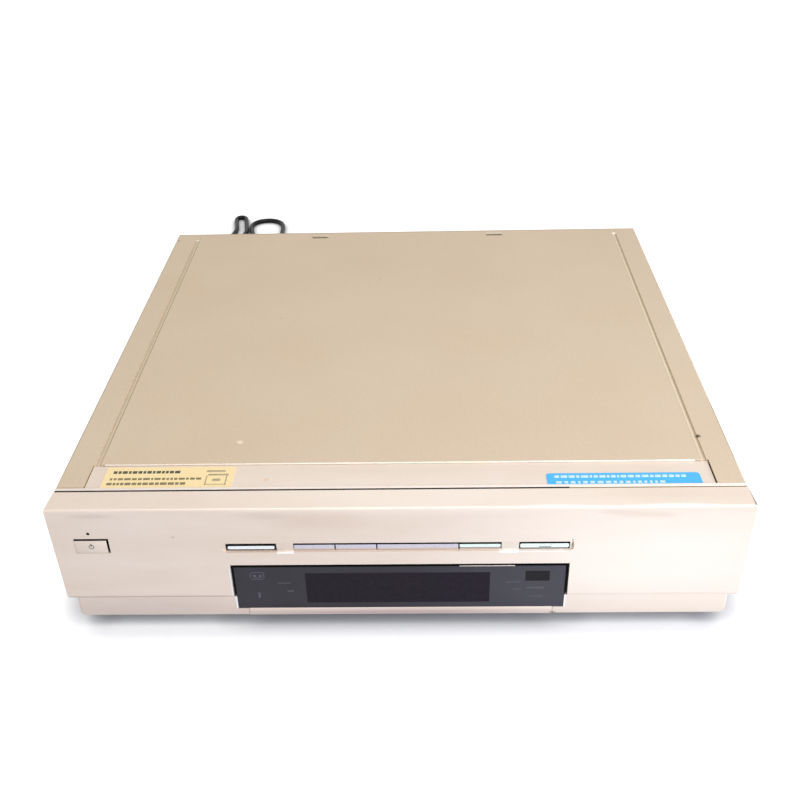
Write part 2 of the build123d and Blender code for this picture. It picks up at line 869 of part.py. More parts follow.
# Cassette mechanisms
def make_mech_plate(x, y, z, bores, slots):
    """A flat plate on four legs that stand on the chassis."""
    plate = block(x, y, (z, z + plate_thickness))
    legs = [rod("Z", place, (chassis_top, z), post_radius) for place in corners_inside(x, y, 2 * post_radius)]
    plate = together([plate, *legs])
    for place, radius in bores:
        plate -= rod("Z", place, (z - 1, z + plate_thickness + 1), radius)
    return plate - slots if slots else plate


def guide_places():
    """Where the two tape guides start, with the way each one moves."""
    length = math.hypot(guide_lean, guide_travel)
    places = []
    for side in (-1, 1):
        start = (vhs_middle + side * guide_from_middle, guide_y)
        places.append((start, (side * guide_lean / length, guide_travel / length)))
    return places


def make_guide_slot(start, way):
    """The slot that a guide's foot runs in."""
    end = (start[0] + way[0] * guide_travel, start[1] + way[1] * guide_travel)
    width_half = axle_radius
    points = []
    for (x, y), turn in ((start, -1), (end, 1)):
        out_x = x + turn * way[0] * width_half
        out_y = y + turn * way[1] * width_half
        points.append((out_x - way[1] * width_half * turn, out_y + way[0] * width_half * turn))
        points.append((out_x + way[1] * width_half * turn, out_y - way[0] * width_half * turn))
    outline = make_face(Polyline(*[(x, front_y + y, vhs_plate_z - 1) for x, y in points], close=True))
    return extrude(outline, plate_thickness + 2, dir=(0, 0, 1))


def make_guide(start):
    """A tape guide: a foot through the plate's slot, a base that slides on it and a roller post."""
    base_z = vhs_plate_top + 0.05
    foot_z = (vhs_plate_z - plate_thickness, base_z + guide_base_height)
    guide = rod("Z", start, foot_z, axle_radius - 2 * bore_gap)
    guide += rod("Z", start, (base_z, base_z + guide_base_height), 2.5 * axle_radius)
    return guide + rod("Z", start, (base_z + guide_base_height, base_z + guide_height), 1.5 * axle_radius)


def vhs_reel_places():
    return [(vhs_middle + side * vhs_reel_spacing / 2, vhs_reel_y) for side in (-1, 1)]


def dv_reel_places():
    return [(dv_middle + side * dv_reel_spacing / 2, dv_reel_y) for side in (-1, 1)]


def capstan_place():
    return (vhs_middle + capstan_from_middle, capstan_y)


def pinch_places():
    """The pinch arm's pivot and its roller, which swings in to just clear of the capstan."""
    pivot = (capstan_place()[0] + capstan_radius + roller_radius + gap, capstan_y + pinch_reach)
    angle = math.radians(pinch_swing)
    roller = (pivot[0] + pinch_reach * math.sin(angle), pivot[1] - pinch_reach * math.cos(angle))
    return pivot, roller


def make_vhs_mech_plate():
    bores = [(capstan_place(), capstan_radius + bore_gap)]
    slots = [make_guide_slot(start, way) for start, way in guide_places()]
    plate = make_mech_plate(vhs_plate_x(), vhs_plate_y, vhs_plate_z, bores, slots)
    for place in vhs_reel_places():
        plate += rod("Z", place, (vhs_plate_top, vhs_plate_top + reel_axle_height), axle_radius)
    pivot_z = (vhs_plate_top, vhs_plate_top + 2 * reel_rim)
    return plate + rod("Z", pinch_places()[0], pivot_z, axle_radius)


def vhs_plate_x():
    """The plate spans the side frames, which stand just outside the holder."""
    return (frame_x(vhs_slot_x)[0], frame_x(vhs_slot_x)[1])


def dv_plate_x():
    return (frame_x(dv_slot_x)[0], frame_x(dv_slot_x)[1])


def frame_x(slot_x):
    """The outer faces of the two side frames that guide a cassette holder."""
    return (slot_x[0] - frame_side, slot_x[1] + frame_side)


def make_side_frames(slot_x, slot_z, y, bottom, travel, depth):
    """Two upright frames with a slot along which the holder's pins run, tied across the top."""
    outer = frame_x(slot_x)
    top = slot_z[1] + frame_rise
    pin_z = (slot_z[0] + slot_z[1]) / 2
    frames = []
    for inner_edge in ((outer[0], outer[0] + frame_thickness), (outer[1] - frame_thickness, outer[1])):
        frame = block(inner_edge, y, (bottom, top))
        pins = holder_pin_ys(y, depth)
        slot = (pins[0] - holder_pin_radius - bore_gap, pins[1] + travel + holder_pin_radius + bore_gap)
        half = holder_pin_radius + bore_gap
        frames.append(frame - block(inner_edge, slot, (pin_z - half, pin_z + half)))
    tie = block(outer, (y[1] - frame_tie, y[1]), (top - frame_thickness, top))
    return together([*frames, tie])


def holder_pin_ys(y, depth):
    """The two pins on each side of a cassette holder."""
    return (y[0] + holder_pin_inset, y[0] + depth - holder_pin_inset)


def make_cassette_holder(slot_x, slot_z, y, depth):
    """A sheet-metal carriage, open to the front and between its two bottom lips."""
    x = (slot_x[0] + holder_gap, slot_x[1] - holder_gap)
    z = (slot_z[0] - holder_sheet, slot_z[1] + holder_sheet)
    through = (y[0] - 1, y[0] + depth + 1)
    holder = block(x, (y[0], y[0] + depth), z)
    holder -= block((x[0] + holder_sheet, x[1] - holder_sheet), through, slot_z)
    holder -= block((x[0] + holder_lip, x[1] - holder_lip), through, (z[0] - 1, slot_z[0]))
    pin_z = (slot_z[0] + slot_z[1]) / 2
    frame_outer = frame_x(slot_x)
    for pin_y in holder_pin_ys(y, depth):
        holder += rod("X", (pin_y, pin_z), (frame_outer[0], x[0] + holder_sheet), holder_pin_radius)
        holder += rod("X", (pin_y, pin_z), (x[1] - holder_sheet, frame_outer[1]), holder_pin_radius)
    return holder


def vhs_holder_y():
    """The holder starts just behind the arc that the flap's lower edge sweeps."""
    return flap_axis_y + (vhs_flap_axis_z - vhs_slot_z[0] + flap_lap) + holder_start


def dv_holder_y():
    return flap_axis_y + (dv_flap_axis_z - dv_slot_z[0] + flap_lap) + holder_start


def make_drum_base(place, radius, bottom, height_):
    """The fixed lower drum with the shaft that the upper drum turns on."""
    drum = rod("Z", place, (bottom, bottom + height_), radius)
    return drum + rod("Z", place, (bottom, bottom + height_ + radius * 0.4), axle_radius)


def make_head_drum(place, radius, bottom, height_):
    """The spinning upper drum with its bore and head windows."""
    drum = rod("Z", place, (bottom + gap, bottom + gap + height_), radius)
    for turn in (0, 180):
        window = Pos(place[0], front_y + place[1], bottom + gap + 1) * Rot(0, 0, turn)
        drum -= window * Pos(radius, 0, 0) * Box(2, radius * 0.15, 3)
    return drum - rod("Z", place, (bottom, bottom + height_ + 1), axle_radius + bore_gap)


def make_reel(place, radius, bottom):
    """A reel table with a geared rim and a splined hub, turning on a fixed axle."""
    reel = rod("Z", place, (bottom + gap, bottom + gap + reel_rim), radius)
    reel += rod("Z", place, (bottom + gap, bottom + gap + reel_hub_height), radius * 0.3)
    spline_height = reel_hub_height - reel_rim - 2 * sheet
    spline_z = bottom + gap + reel_hub_height - spline_height / 2
    for turn in range(6):
        spline = Pos(place[0], front_y + place[1], spline_z) * Rot(0, 0, turn * 60)
        reel += spline * Pos(radius * 0.3, 0, 0) * Box(1.6, 1.2, spline_height)
    return reel - rod("Z", place, (bottom, bottom + reel_axle_height + reel_rim), axle_radius + bore_gap)


def make_capstan():
    """The capstan's shaft and the flywheel below the plate."""
    place = capstan_place()
    bottom = chassis_top + flywheel_lift
    shaft = rod("Z", place, (bottom, vhs_plate_top + capstan_height), capstan_radius)
    return shaft + rod("Z", place, (bottom, bottom + flywheel_thickness), flywheel_radius)


def make_capstan_motor():
    """The motor's fixed windings, under the plate."""
    place = capstan_place()
    bottom = chassis_top + flywheel_lift + flywheel_thickness + sheet / 2
    motor = rod("Z", place, (bottom, vhs_plate_z), flywheel_radius)
    return motor - rod("Z", place, (bottom - 1, vhs_plate_z + 1), capstan_radius + 1)


def make_pinch_arm():
    pivot, roller = pinch_places()
    bottom = vhs_plate_top + pinch_arm_lift
    z = (bottom, bottom + pinch_arm_thickness)
    reach = math.hypot(pivot[0] - roller[0], pivot[1] - roller[1])
    middle = Pos((pivot[0] + roller[0]) / 2, front_y + (pivot[1] + roller[1]) / 2, sum(z) / 2)
    bar = middle * Rot(0, 0, pinch_swing) * Box(6, reach, z[1] - z[0])
    arm = together([bar, rod("Z", pivot, z, 5.0), rod("Z", roller, z, 4.0)])
    arm += rod("Z", roller, (bottom, z[1] + roller_height + axle_radius), capstan_radius)
    return arm - rod("Z", pivot, (bottom - 2, bottom + 8), axle_radius + bore_gap)


def make_pinch_roller():
    roller = pinch_places()[1]
    bottom = vhs_plate_top + pinch_arm_lift + pinch_arm_thickness + gap
    body = rod("Z", roller, (bottom, bottom + roller_height), roller_radius)
    return body - rod("Z", roller, (bottom - 1, bottom + roller_height + 1), capstan_radius + bore_gap)


def make_vhs_loading_motor():
    """The motor that draws the cassette in, standing on the mechanism plate."""
    size = loading_motor_size
    x = frame_x(vhs_slot_x)[0] + 2 * frame_side
    rear = vhs_plate_y[1] - loading_motor_inset
    front = rear - loading_motor_length
    body = block((x, x + size), (front, rear), (vhs_plate_top, vhs_plate_top + size))
    middle = (x + size / 2, vhs_plate_top + size / 2)
    return body + rod("Y", middle, (front - loading_shaft, front), axle_radius)


def make_dv_mech_plate():
    plate = make_mech_plate(dv_plate_x(), dv_plate_y, dv_plate_z, [], [])
    for place in dv_reel_places():
        plate += rod("Z", place, (dv_plate_top, dv_plate_top + reel_axle_height), axle_radius)
    return plate


# Power supply and boards
def make_board(x, y, parts):
    """A flat board with low components fused to it, each given as (x, y, width, depth, height)."""
    board = block(x, y, (board_z, board_top))
    for px, py, part_width, part_depth, part_height in parts:
        board += block((px, px + part_width), (py, py + part_depth), (board_top, board_top + part_height))
    return board


def make_main_board():
    x, y = main_board_x, main_board_y
    parts = [(x[0] + 20 + i * 42, y[0] + 12, 24, 24, 2.4) for i in range(4)]
    parts += [(x[0] + 16 + i * 30, y[0] + 48, 14, 10, 6.0) for i in range(5)]
    return make_board(x, y, parts)


def make_power_board():
    parts = [(*on_power_board(part[:2]), *part[2:]) for part in power_board_parts]
    return make_board(power_board_x, power_board_y, parts)


def on_power_board(place):
    """A place given from the board's front left corner, as (x, y)."""
    return (power_board_x[0] + place[0], power_board_y[0] + place[1])


def make_transformer():
    x, y = on_power_board(transformer_place)
    x_end = x + transformer_size[0]
    y_end = y + transformer_size[1]
    core = block((x, x_end), (y, y_end), (board_top, board_top + transformer_size[2]))
    winding_bottom = board_top + (transformer_size[2] - winding_height) / 2
    return core + block(
        (x + winding_inset, x_end - winding_inset),
        (y - winding_reach, y_end + winding_reach),
        (winding_bottom, winding_bottom + winding_height),
    )


def make_power_capacitors():
    x, y = on_power_board(capacitor_place)
    z = (board_top, board_top + capacitor_height)
    return [rod("Z", (x + i * capacitor_pitch, y), z, capacitor_radius) for i in range(3)]


def make_heatsink():
    x, y = on_power_board(heatsink_place)
    z = (board_top, board_top + heatsink_height)
    fin_x = (x + heatsink_base, x + heatsink_base + fin_reach)
    fins = [block(fin_x, (y + i * fin_pitch, y + i * fin_pitch + fin_thickness), z) for i in range(fin_count)]
    return together([block((x, x + heatsink_base), (y, y + heatsink_length), z), *fins])


def make_tuner_module():
    """The tuner's metal can, with its aerial sockets through the rear panel."""
    x = (socket_x[0] - tuner_margin, socket_x[1] + tuner_margin)
    can_rear = panel_front - sheet
    can = block(x, (can_rear - tuner_depth, can_rear), (board_top, socket_z[1] + tuner_rise))
    for place in socket_places():
        can += rod("Y", place, (can_rear, cover_depth + jack_reach - sheet), socket_radius)
        can -= rod("Y", place, (panel_rear, cover_depth + jack_reach), socket_bore)
    return can


# Labels on the shelf
def make_label(left, size):
    """A thin label stuck on the shelf just behind the rim."""
    z = (shelf_top, shelf_top + label_thickness)
    return block((left, left + size[0]), (rim_rear, rim_rear + size[1]), z)


# Mains cord
def make_strain_relief():
    root = panel_rear
    exit_place = (cord_exit_x, cord_exit_z)
    relief = rod("Y", exit_place, (panel_front - 4 * sheet, root), relief_root - gap / 3)
    relief += rod("Y", exit_place, (root, root + relief_flange), relief_root + relief_flange / 2)
    cone = Pos(cord_exit_x, front_y + root + relief_length / 2, cord_exit_z) * Rot(-90, 0, 0)
    return relief + cone * Cone(relief_root, relief_tip, relief_length)


def corner_radius(before, corner, after):
    """The radius of the arc at a corner: 0.45 of its shorter run over the tangent of half the turn."""
    into = corner - before
    out = after - corner
    half_turn = math.radians(into.get_angle(out)) / 2
    return 0.45 * min(into.length, out.length) / math.tan(half_turn)


def make_power_cord():
    points = [Vector(x, front_y + cover_depth + y, z) for x, y, z in cord_route]
    radii = [corner_radius(*points[i - 1 : i + 2]) for i in range(1, len(points) - 1)]
    path = FilletPolyline(*points, radius=radii)
    print("cord radii", [round(r, 1) for r in radii])
    start = Plane(origin=points[0], z_dir=path % 0)
    tube = sweep(start * Circle(cord_radius), path=path)
    section = math.pi * cord_radius**2
    ratio = tube.volume / (section * path.length)
    print("cord length", round(path.length, 1), "volume ratio", round(ratio, 4))
    return tube


def coil_radius(turn):
    """The coil's radius after some turns: steadily in, then as steadily out again."""
    reverse = coil_total_turns() / 2
    return coil_outer - coil_pitch * (reverse - abs(reverse - turn))


def coil_rise(turn):
    """The coil climbs its one layer in the half turn where the spiral reverses."""
    share = min(max((turn - coil_turns) / 0.5, 0), 1)
    return coil_layer * (1 - math.cos(math.pi * share)) / 2


def coil_point(turn):
    """A point on the coil's centreline, counted in turns from its left side."""
    angle = math.pi + 2 * math.pi * turn
    radius = coil_radius(turn)
    return Vector(
        coil_x + radius * math.cos(angle),
        front_y + coil_y + radius * math.sin(angle),
        cord_floor_z + coil_rise(turn),
    )


def coil_direction(turn):
    """The coil's direction: square to its radius, and rising only in the climb."""
    step = 0.01
    angle = math.pi + 2 * math.pi * turn
    rise = (coil_rise(turn + step) - coil_rise(turn - step)) / (4 * math.pi * step * coil_radius(turn))
    return Vector(-math.sin(angle), math.cos(angle), rise).normalized()


def biarc(start, start_way, end, end_way):
    """Two tangent arcs from one point and direction to another."""
    span = end - start
    ways = start_way + end_way
    spread = 2 * (1 - start_way.dot(end_way))
    along = span.dot(ways)
    reach = (-along + math.sqrt(along**2 + spread * span.dot(span))) / spread
    middle = (start + end + (start_way - end_way) * reach) / 2
    middle_way = (end - end_way * reach) - (start + start_way * reach)
    return [TangentArc(start, middle, tangent=start_way), TangentArc(middle, end, tangent=middle_way)]


def coil_total_turns():
    return 2 * coil_turns + 0.5


def least_self_gap(edges, turns):
    """The least gap between turns, from points along the path at least 0.45 turns apart."""
    points = [edge @ (i / 12) for edge in edges for i in range(12)]
    apart = round(len(points) / turns * 0.45)
    least = min((a - b).length for i, a in enumerate(points) for b in points[i + apart :])
    return least - 2 * cord_radius


def make_cord_coil():
    total = coil_total_turns()
    turns = []
    for i in range(round(total * 4)):
        a, b = i / 4, (i + 1) / 4
        turns += biarc(coil_point(a), coil_direction(a), coil_point(b), coil_direction(b))
    first, last = coil_point(0), coil_point(total)
    lead_in = Line(first - coil_direction(0) * 2 * cord_radius, first)
    lead_out = Line(last, last + coil_direction(total) * coil_tail)
    path = Wire([edge.edge() for edge in (lead_in, *turns, lead_out)])
    start = Plane(origin=path @ 0, z_dir=path % 0)
    tube = sweep(start * Circle(cord_radius), path=path)
    section = math.pi * cord_radius**2
    print("coil length", round(path.length, 1), "least gap to itself", round(least_self_gap(turns, total), 2))
    print("coil volume ratio", round(tube.volume / (section * path.length), 4))
    return tube


def make_power_plug():
    """A moulded two-blade plug that lies beside the coil, on the end of the cord."""
    total = coil_total_turns()
    end = coil_point(total) + coil_direction(total) * coil_tail
    x, y, z = end.X, end.Y - front_y, end.Z
    body_y = (y + plug_neck, y + plug_length)
    body = block((x - plug_width / 2, x + plug_width / 2), body_y, (z - plug_height / 2, z + plug_height / 2))
    body = fillet(body.edges().filter_by(Axis.Y), plug_height * 0.3)
    taper = Pos(x, front_y + y + plug_neck / 2, z) * Rot(-90, 0, 0)
    plug = body + taper * Cone(relief_tip, plug_height * 0.42, plug_neck)
    for side in (-1, 1):
        middle = x + side * blade_spacing / 2
        plug += block(
            (middle - blade_thickness / 2, middle + blade_thickness / 2),
            (body_y[1] - 1, body_y[1] + blade_length),
            (z - blade_width / 2, z + blade_width / 2),
        )
    return plug


os.makedirs("parts", exist_ok=True)

save("chassis_base", make_chassis_base())
save("feet", *make_feet())
save("foot_pads", *make_foot_pads())
save("top_cover", make_top_cover())
save("cover_screws", *make_cover_screws())
save("rear_panel", make_rear_panel())
save("rear_jacks", *make_rear_jacks())
save("tuner_module", make_tuner_module())
save("front_bezel", make_front_bezel())
save("yellow_label", make_label(yellow_label_inset - half_width, yellow_label_size))
save("blue_label", make_label(half_width - blue_label_inset - blue_label_size[0], blue_label_size))
save("display_window", make_display_window())
save("display_holder", make_display_holder())
save("display_tube", make_display_tube())
save("display_sill", make_display_sill())
save("front_board", make_front_board())
save("front_jacks", make_front_jacks())

save("front_door", make_front_door())
save("door_liner", make_door_liner())
save("door_board", make_door_board())
save("power_light", make_power_light())
save("power_button", make_button(power_button_x, power_button_z, gap))
for button_name, button_span in button_spans.items():
    save(button_name, make_strip_button(button_span))

save("vhs_flap", make_flap(vhs_slot_x, vhs_slot_z))
save("dv_flap", make_flap(dv_slot_x, dv_slot_z))

save("vhs_mech_plate", make_vhs_mech_plate())
vhs_frame_length = vhs_holder_depth + vhs_holder_travel + vhs_frame_spare
vhs_frame_y = (vhs_holder_y(), vhs_holder_y() + vhs_frame_length)
save(
    "vhs_side_frames",
    make_side_frames(vhs_slot_x, vhs_slot_z, vhs_frame_y, vhs_plate_top, vhs_holder_travel, vhs_holder_depth),
)
save("vhs_cassette_holder", make_cassette_holder(vhs_slot_x, vhs_slot_z, vhs_frame_y, vhs_holder_depth))
vhs_drum_place = (vhs_middle, vhs_drum_y)
save("vhs_drum_base", make_drum_base(vhs_drum_place, vhs_drum_radius, vhs_plate_top, vhs_drum_base_height))
save(
    "vhs_head_drum",
    make_head_drum(vhs_drum_place, vhs_drum_radius, vhs_plate_top + vhs_drum_base_height, vhs_drum_height),
)
save("vhs_supply_reel", make_reel(vhs_reel_places()[0], reel_radius, vhs_plate_top))
save("vhs_takeup_reel", make_reel(vhs_reel_places()[1], reel_radius, vhs_plate_top))
save("vhs_capstan", make_capstan())
save("vhs_capstan_motor", make_capstan_motor())
save("vhs_pinch_arm", make_pinch_arm())
save("vhs_pinch_roller", make_pinch_roller())
save("vhs_supply_guide", make_guide(guide_places()[0][0]))
save("vhs_takeup_guide", make_guide(guide_places()[1][0]))
save("vhs_loading_motor", make_vhs_loading_motor())

save("dv_mech_plate", make_dv_mech_plate())
dv_frame_y = (dv_holder_y(), dv_holder_y() + dv_holder_depth + dv_holder_travel + dv_frame_spare)
save(
    "dv_side_frames",
    make_side_frames(dv_slot_x, dv_slot_z, dv_frame_y, dv_plate_top, dv_holder_travel, dv_holder_depth),
)
save("dv_cassette_holder", make_cassette_holder(dv_slot_x, dv_slot_z, dv_frame_y, dv_holder_depth))
dv_drum_place = (dv_middle, dv_drum_y)
save("dv_drum_base", make_drum_base(dv_drum_place, dv_drum_radius, dv_plate_top, dv_drum_height))
save(
    "dv_head_drum",
    make_head_drum(dv_drum_place, dv_drum_radius, dv_plate_top + dv_drum_height, dv_drum_height),
)
save("dv_supply_reel", make_reel(dv_reel_places()[0], dv_reel_radius, dv_plate_top))
save("dv_takeup_reel", make_reel(dv_reel_places()[1], dv_reel_radius, dv_plate_top))

save("power_board", make_power_board())
save("transformer", make_transformer())
save("power_capacitors", *make_power_capacitors())
save("heatsink", make_heatsink())
save("main_board", make_main_board())

save("strain_relief", make_strain_relief())
save("power_cord", make_power_cord())
save("cord_coil", make_cord_coil())
save("power_plug", make_power_plug())
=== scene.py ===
import math
import random

import bpy
from mathutils import Matrix, Vector


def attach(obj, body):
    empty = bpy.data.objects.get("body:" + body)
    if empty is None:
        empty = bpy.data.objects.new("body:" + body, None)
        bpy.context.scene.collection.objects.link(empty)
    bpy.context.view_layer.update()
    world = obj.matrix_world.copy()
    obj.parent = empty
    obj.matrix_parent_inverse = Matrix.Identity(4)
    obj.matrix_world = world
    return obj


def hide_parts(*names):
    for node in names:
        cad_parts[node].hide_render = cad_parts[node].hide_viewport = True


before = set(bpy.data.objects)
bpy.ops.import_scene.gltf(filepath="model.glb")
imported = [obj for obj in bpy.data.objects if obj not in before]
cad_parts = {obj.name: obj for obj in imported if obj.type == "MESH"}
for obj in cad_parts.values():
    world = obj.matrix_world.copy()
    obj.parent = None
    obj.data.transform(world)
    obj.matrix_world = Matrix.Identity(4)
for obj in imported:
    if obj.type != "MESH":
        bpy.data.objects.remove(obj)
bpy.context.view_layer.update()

MM = 0.001
bpy.context.scene.view_settings.view_transform = "Standard"


# Colour and material tools

def linear(hex_code):
    """A colour written as sRGB hex, as the linear values that a shader takes."""
    values = []
    for i in (0, 2, 4):
        share = int(hex_code[i : i + 2], 16) / 255
        values.append(share / 12.92 if share <= 0.04045 else ((share + 0.055) / 1.055) ** 2.4)
    return (*values, 1.0)


def add(tree, kind, links=None, **settings):
    """Adds one node. links maps its inputs to other nodes' outputs, and settings
    are the values of the node itself or of its sockets."""
    made = tree.nodes.new("ShaderNode" + kind)
    for name, value in settings.items():
        if hasattr(made, name):
            setattr(made, name, value)
        else:
            made.inputs[name.replace("_", " ")].default_value = value
    for name, output in (links or {}).items():
        tree.links.new(output, made.inputs[name])
    return made


def new_material(name):
    """A material with a bare Principled shader, and the mesh's own place in millimetres."""
    material = bpy.data.materials.new(name)
    material.use_nodes = True
    tree = material.node_tree
    tree.nodes.clear()
    shader = add(tree, "BsdfPrincipled")
    output = add(tree, "OutputMaterial")
    tree.links.new(shader.outputs["BSDF"], output.inputs["Surface"])
    where = add(tree, "TexCoord")
    place = add(tree, "Mapping", {"Vector": where.outputs["Object"]}, Scale=(1000, 1000, 1000))
    return material, tree, shader, place.outputs["Vector"]


def wire(tree, output, shader, socket):
    """Links a node's output to one of the shader's sockets."""
    tree.links.new(output, shader.inputs[socket])


# The camera, fitted to the edges of the deck in the photograph

image_width = 800
focal_pixels = 1022.105
sensor_width = 36.0
camera_place = Vector((0.018356, -0.695107, 0.486551))
pitch, yaw, roll = (math.radians(a) for a in (32.65, 1.757, -1.553))

level = Vector((-math.sin(yaw), math.cos(yaw), 0))
look = level * math.cos(pitch) - Vector((0, 0, math.sin(pitch)))
over = level * math.sin(pitch) + Vector((0, 0, math.cos(pitch)))
side = Vector((math.cos(yaw), math.sin(yaw), 0))
camera_right = side * math.cos(roll) + over * math.sin(roll)
camera_up = over * math.cos(roll) - side * math.sin(roll)

camera_data = bpy.data.cameras.new("camera")
camera_data.sensor_fit = "HORIZONTAL"
camera_data.sensor_width = sensor_width
camera_data.lens = focal_pixels * sensor_width / image_width
camera = bpy.data.objects.new("camera", camera_data)
bpy.context.scene.collection.objects.link(camera)
turn = Matrix((camera_right, camera_up, -look)).transposed().to_4x4()
camera.matrix_world = Matrix.Translation(camera_place) @ turn
bpy.context.scene.camera = camera


# Modelling tools, as by hand

smooth_angle = math.radians(30)


def nothing_selected():
    """Leaves edit mode and deselects everything, since operators act on all that is selected."""
    if bpy.context.object and bpy.context.object.mode != "OBJECT":
        bpy.ops.object.mode_set(mode="OBJECT")
    bpy.ops.object.select_all(action="DESELECT")


def named(name):
    """Names the piece just added, and puts its place into its mesh."""
    piece = bpy.context.object
    piece.name = name
    piece.data.name = name
    bpy.ops.object.transform_apply(location=True, rotation=True, scale=True)
    return piece


def box_piece(name, low, high):
    """A box between two corners in millimetres of the row frame."""
    nothing_selected()
    centre = [(a + b) / 2 * MM for a, b in zip(low, high)]
    bpy.ops.mesh.primitive_cube_add(size=1, location=centre)
    bpy.context.object.scale = [(b - a) * MM for a, b in zip(low, high)]
    return named(name)


def rod_piece(name, centre, radius, length, axis="Y", sides=32):
    """A round bar by its middle, in millimetres, along an axis."""
    nothing_selected()
    turns = {"X": (0, math.pi / 2, 0), "Y": (math.pi / 2, 0, 0), "Z": (0, 0, 0)}
    bpy.ops.mesh.primitive_cylinder_add(
        vertices=sides, radius=radius * MM, depth=length * MM,
        location=[c * MM for c in centre], rotation=turns[axis],
    )
    return named(name)


def edit(piece):
    """Opens a piece in edit mode with nothing selected."""
    nothing_selected()
    bpy.context.view_layer.objects.active = piece
    piece.select_set(True)
    bpy.ops.object.mode_set(mode="EDIT")
    bpy.ops.mesh.select_all(action="DESELECT")


def pick(piece, test, of="FACE"):
    """Selects the faces or edges whose middle, in millimetres, passes a test."""
    bpy.ops.mesh.select_mode(type=of)
    bpy.ops.mesh.select_all(action="DESELECT")
    bpy.ops.object.mode_set(mode="OBJECT")
    mesh = piece.data
    if of == "FACE":
        for face in mesh.polygons:
            face.select = test(face.center / MM, face.normal)
    elif of == "EDGE":
        for edge in mesh.edges:
            a, b = (mesh.vertices[v].co for v in edge.vertices)
            edge.select = test((a + b) / 2 / MM, (b - a).normalized())
    else:
        for vertex in mesh.vertices:
            vertex.select = test(vertex.co / MM, vertex.normal)
    bpy.ops.object.mode_set(mode="EDIT")


def done(piece):
    """Leaves edit mode, turns the faces outwards and smooths the round ones."""
    bpy.ops.mesh.select_all(action="SELECT")
    bpy.ops.mesh.normals_make_consistent(inside=False)
    bpy.ops.object.mode_set(mode="OBJECT")
    bpy.ops.object.shade_smooth_by_angle(angle=smooth_angle)
    return piece


def rounded(piece, width, segments=2, limit=40):
    """Rounds every sharp edge with a bevel modifier, and applies it."""
    nothing_selected()
    bpy.context.view_layer.objects.active = piece
    piece.select_set(True)
    bevel = piece.modifiers.new("round", "BEVEL")
    bevel.width = width * MM
    bevel.segments = segments
    bevel.limit_method = "ANGLE"
    bevel.angle_limit = math.radians(limit)
    bpy.ops.object.modifier_apply(modifier=bevel.name)
    bpy.ops.object.shade_smooth_by_angle(angle=smooth_angle)
    return piece


def copied(piece, name, shift):
    """A copy with its own mesh, moved by millimetres."""
    twin = piece.copy()
    twin.data = piece.data.copy()
    twin.name = name
    twin.data.name = name
    bpy.context.scene.collection.objects.link(twin)
    twin.data.transform(Matrix.Translation(Vector(shift) * MM))
    return twin


def finished(piece, material, body):
    """Gives a piece its material and body."""
    piece.data.materials.clear()
    piece.data.materials.append(material)
    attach(piece, body)
    return piece


def joined(pieces, name):
    """Several pieces as one."""
    nothing_selected()
    for piece in pieces:
        piece.select_set(True)
    bpy.context.view_layer.objects.active = pieces[0]
    bpy.ops.object.join()
    whole = bpy.context.object
    whole.name = name
    whole.data.name = name
    return whole


# The mains cord: its route and its coil repeat those of the source, in metres

cord_radius = 0.0025
floor_z = 0.0026
cord_route = [
    (-0.1500, 0.2332, 0.0350),
    (-0.1500, 0.2525, 0.0350),
    (-0.1506, 0.2835, 0.0195),
    (-0.1516, 0.3175, 0.0038),
    (-0.1508, 0.3595, floor_z),
    (-0.1494, 0.3995, floor_z),
    (-0.1504, 0.4295, floor_z),
    (-0.1515, 0.4566, floor_z),
    (-0.1629, 0.4680, floor_z),
    (-0.1791, 0.4680, floor_z),
    (-0.1905, 0.4566, floor_z),
    (-0.1872, 0.4335, floor_z),
    (-0.1764, 0.4015, floor_z),
    (-0.1625, 0.3689, floor_z),
    (-0.1706, 0.3502, floor_z),
    (-0.1895, 0.3425, floor_z),
    (-0.2084, 0.3502, floor_z),
    (-0.2165, 0.3689, floor_z),
    (-0.2024, 0.4015, floor_z),
    (-0.1924, 0.4315, floor_z),
    (-0.1956, 0.4515, floor_z),
    (-0.1974, 0.4635, floor_z),
    (-0.1999, 0.4775, floor_z),
    (-0.2064, 0.4798, floor_z),
    (-0.2117, 0.4754, floor_z),
    (-0.2094, 0.4615, floor_z),
    (-0.2049, 0.4355, floor_z),
    (-0.2156, 0.4015, floor_z),
    (-0.2310, 0.3665, floor_z),
    (-0.2412, 0.3295, floor_z),
    (-0.2440, 0.2955, floor_z),
    (-0.2440, 0.2665, floor_z),
]
coil_centre = (-0.208, 0.2615)
coil_outer, coil_pitch, coil_layer = 0.036, 0.0058, 0.0056
coil_turns = 3
coil_total = 2 * coil_turns + 0.5
coil_tail = 0.024
points_per_turn = 16


def coil_point(count):
    """A point on the coil after some turns: in on the floor, then out again one layer up."""
    reverse = coil_total / 2
    radius = coil_outer - coil_pitch * (reverse - abs(reverse - count))
    share = min(max((count - coil_turns) / 0.5, 0), 1)
    angle = math.pi + 2 * math.pi * count
    return (
        coil_centre[0] + radius * math.cos(angle),
        coil_centre[1] + radius * math.sin(angle),
        floor_z + coil_layer * (1 - math.cos(math.pi * share)) / 2,
    )


cord_points = list(cord_route)
for step in range(int(coil_total * points_per_turn) + 1):
    cord_points.append(coil_point(step / points_per_turn))
coil_end = cord_points[-1]
for straight in (coil_tail / 2, coil_tail):
    cord_points.append((coil_end[0], coil_end[1] + straight, coil_end[2]))

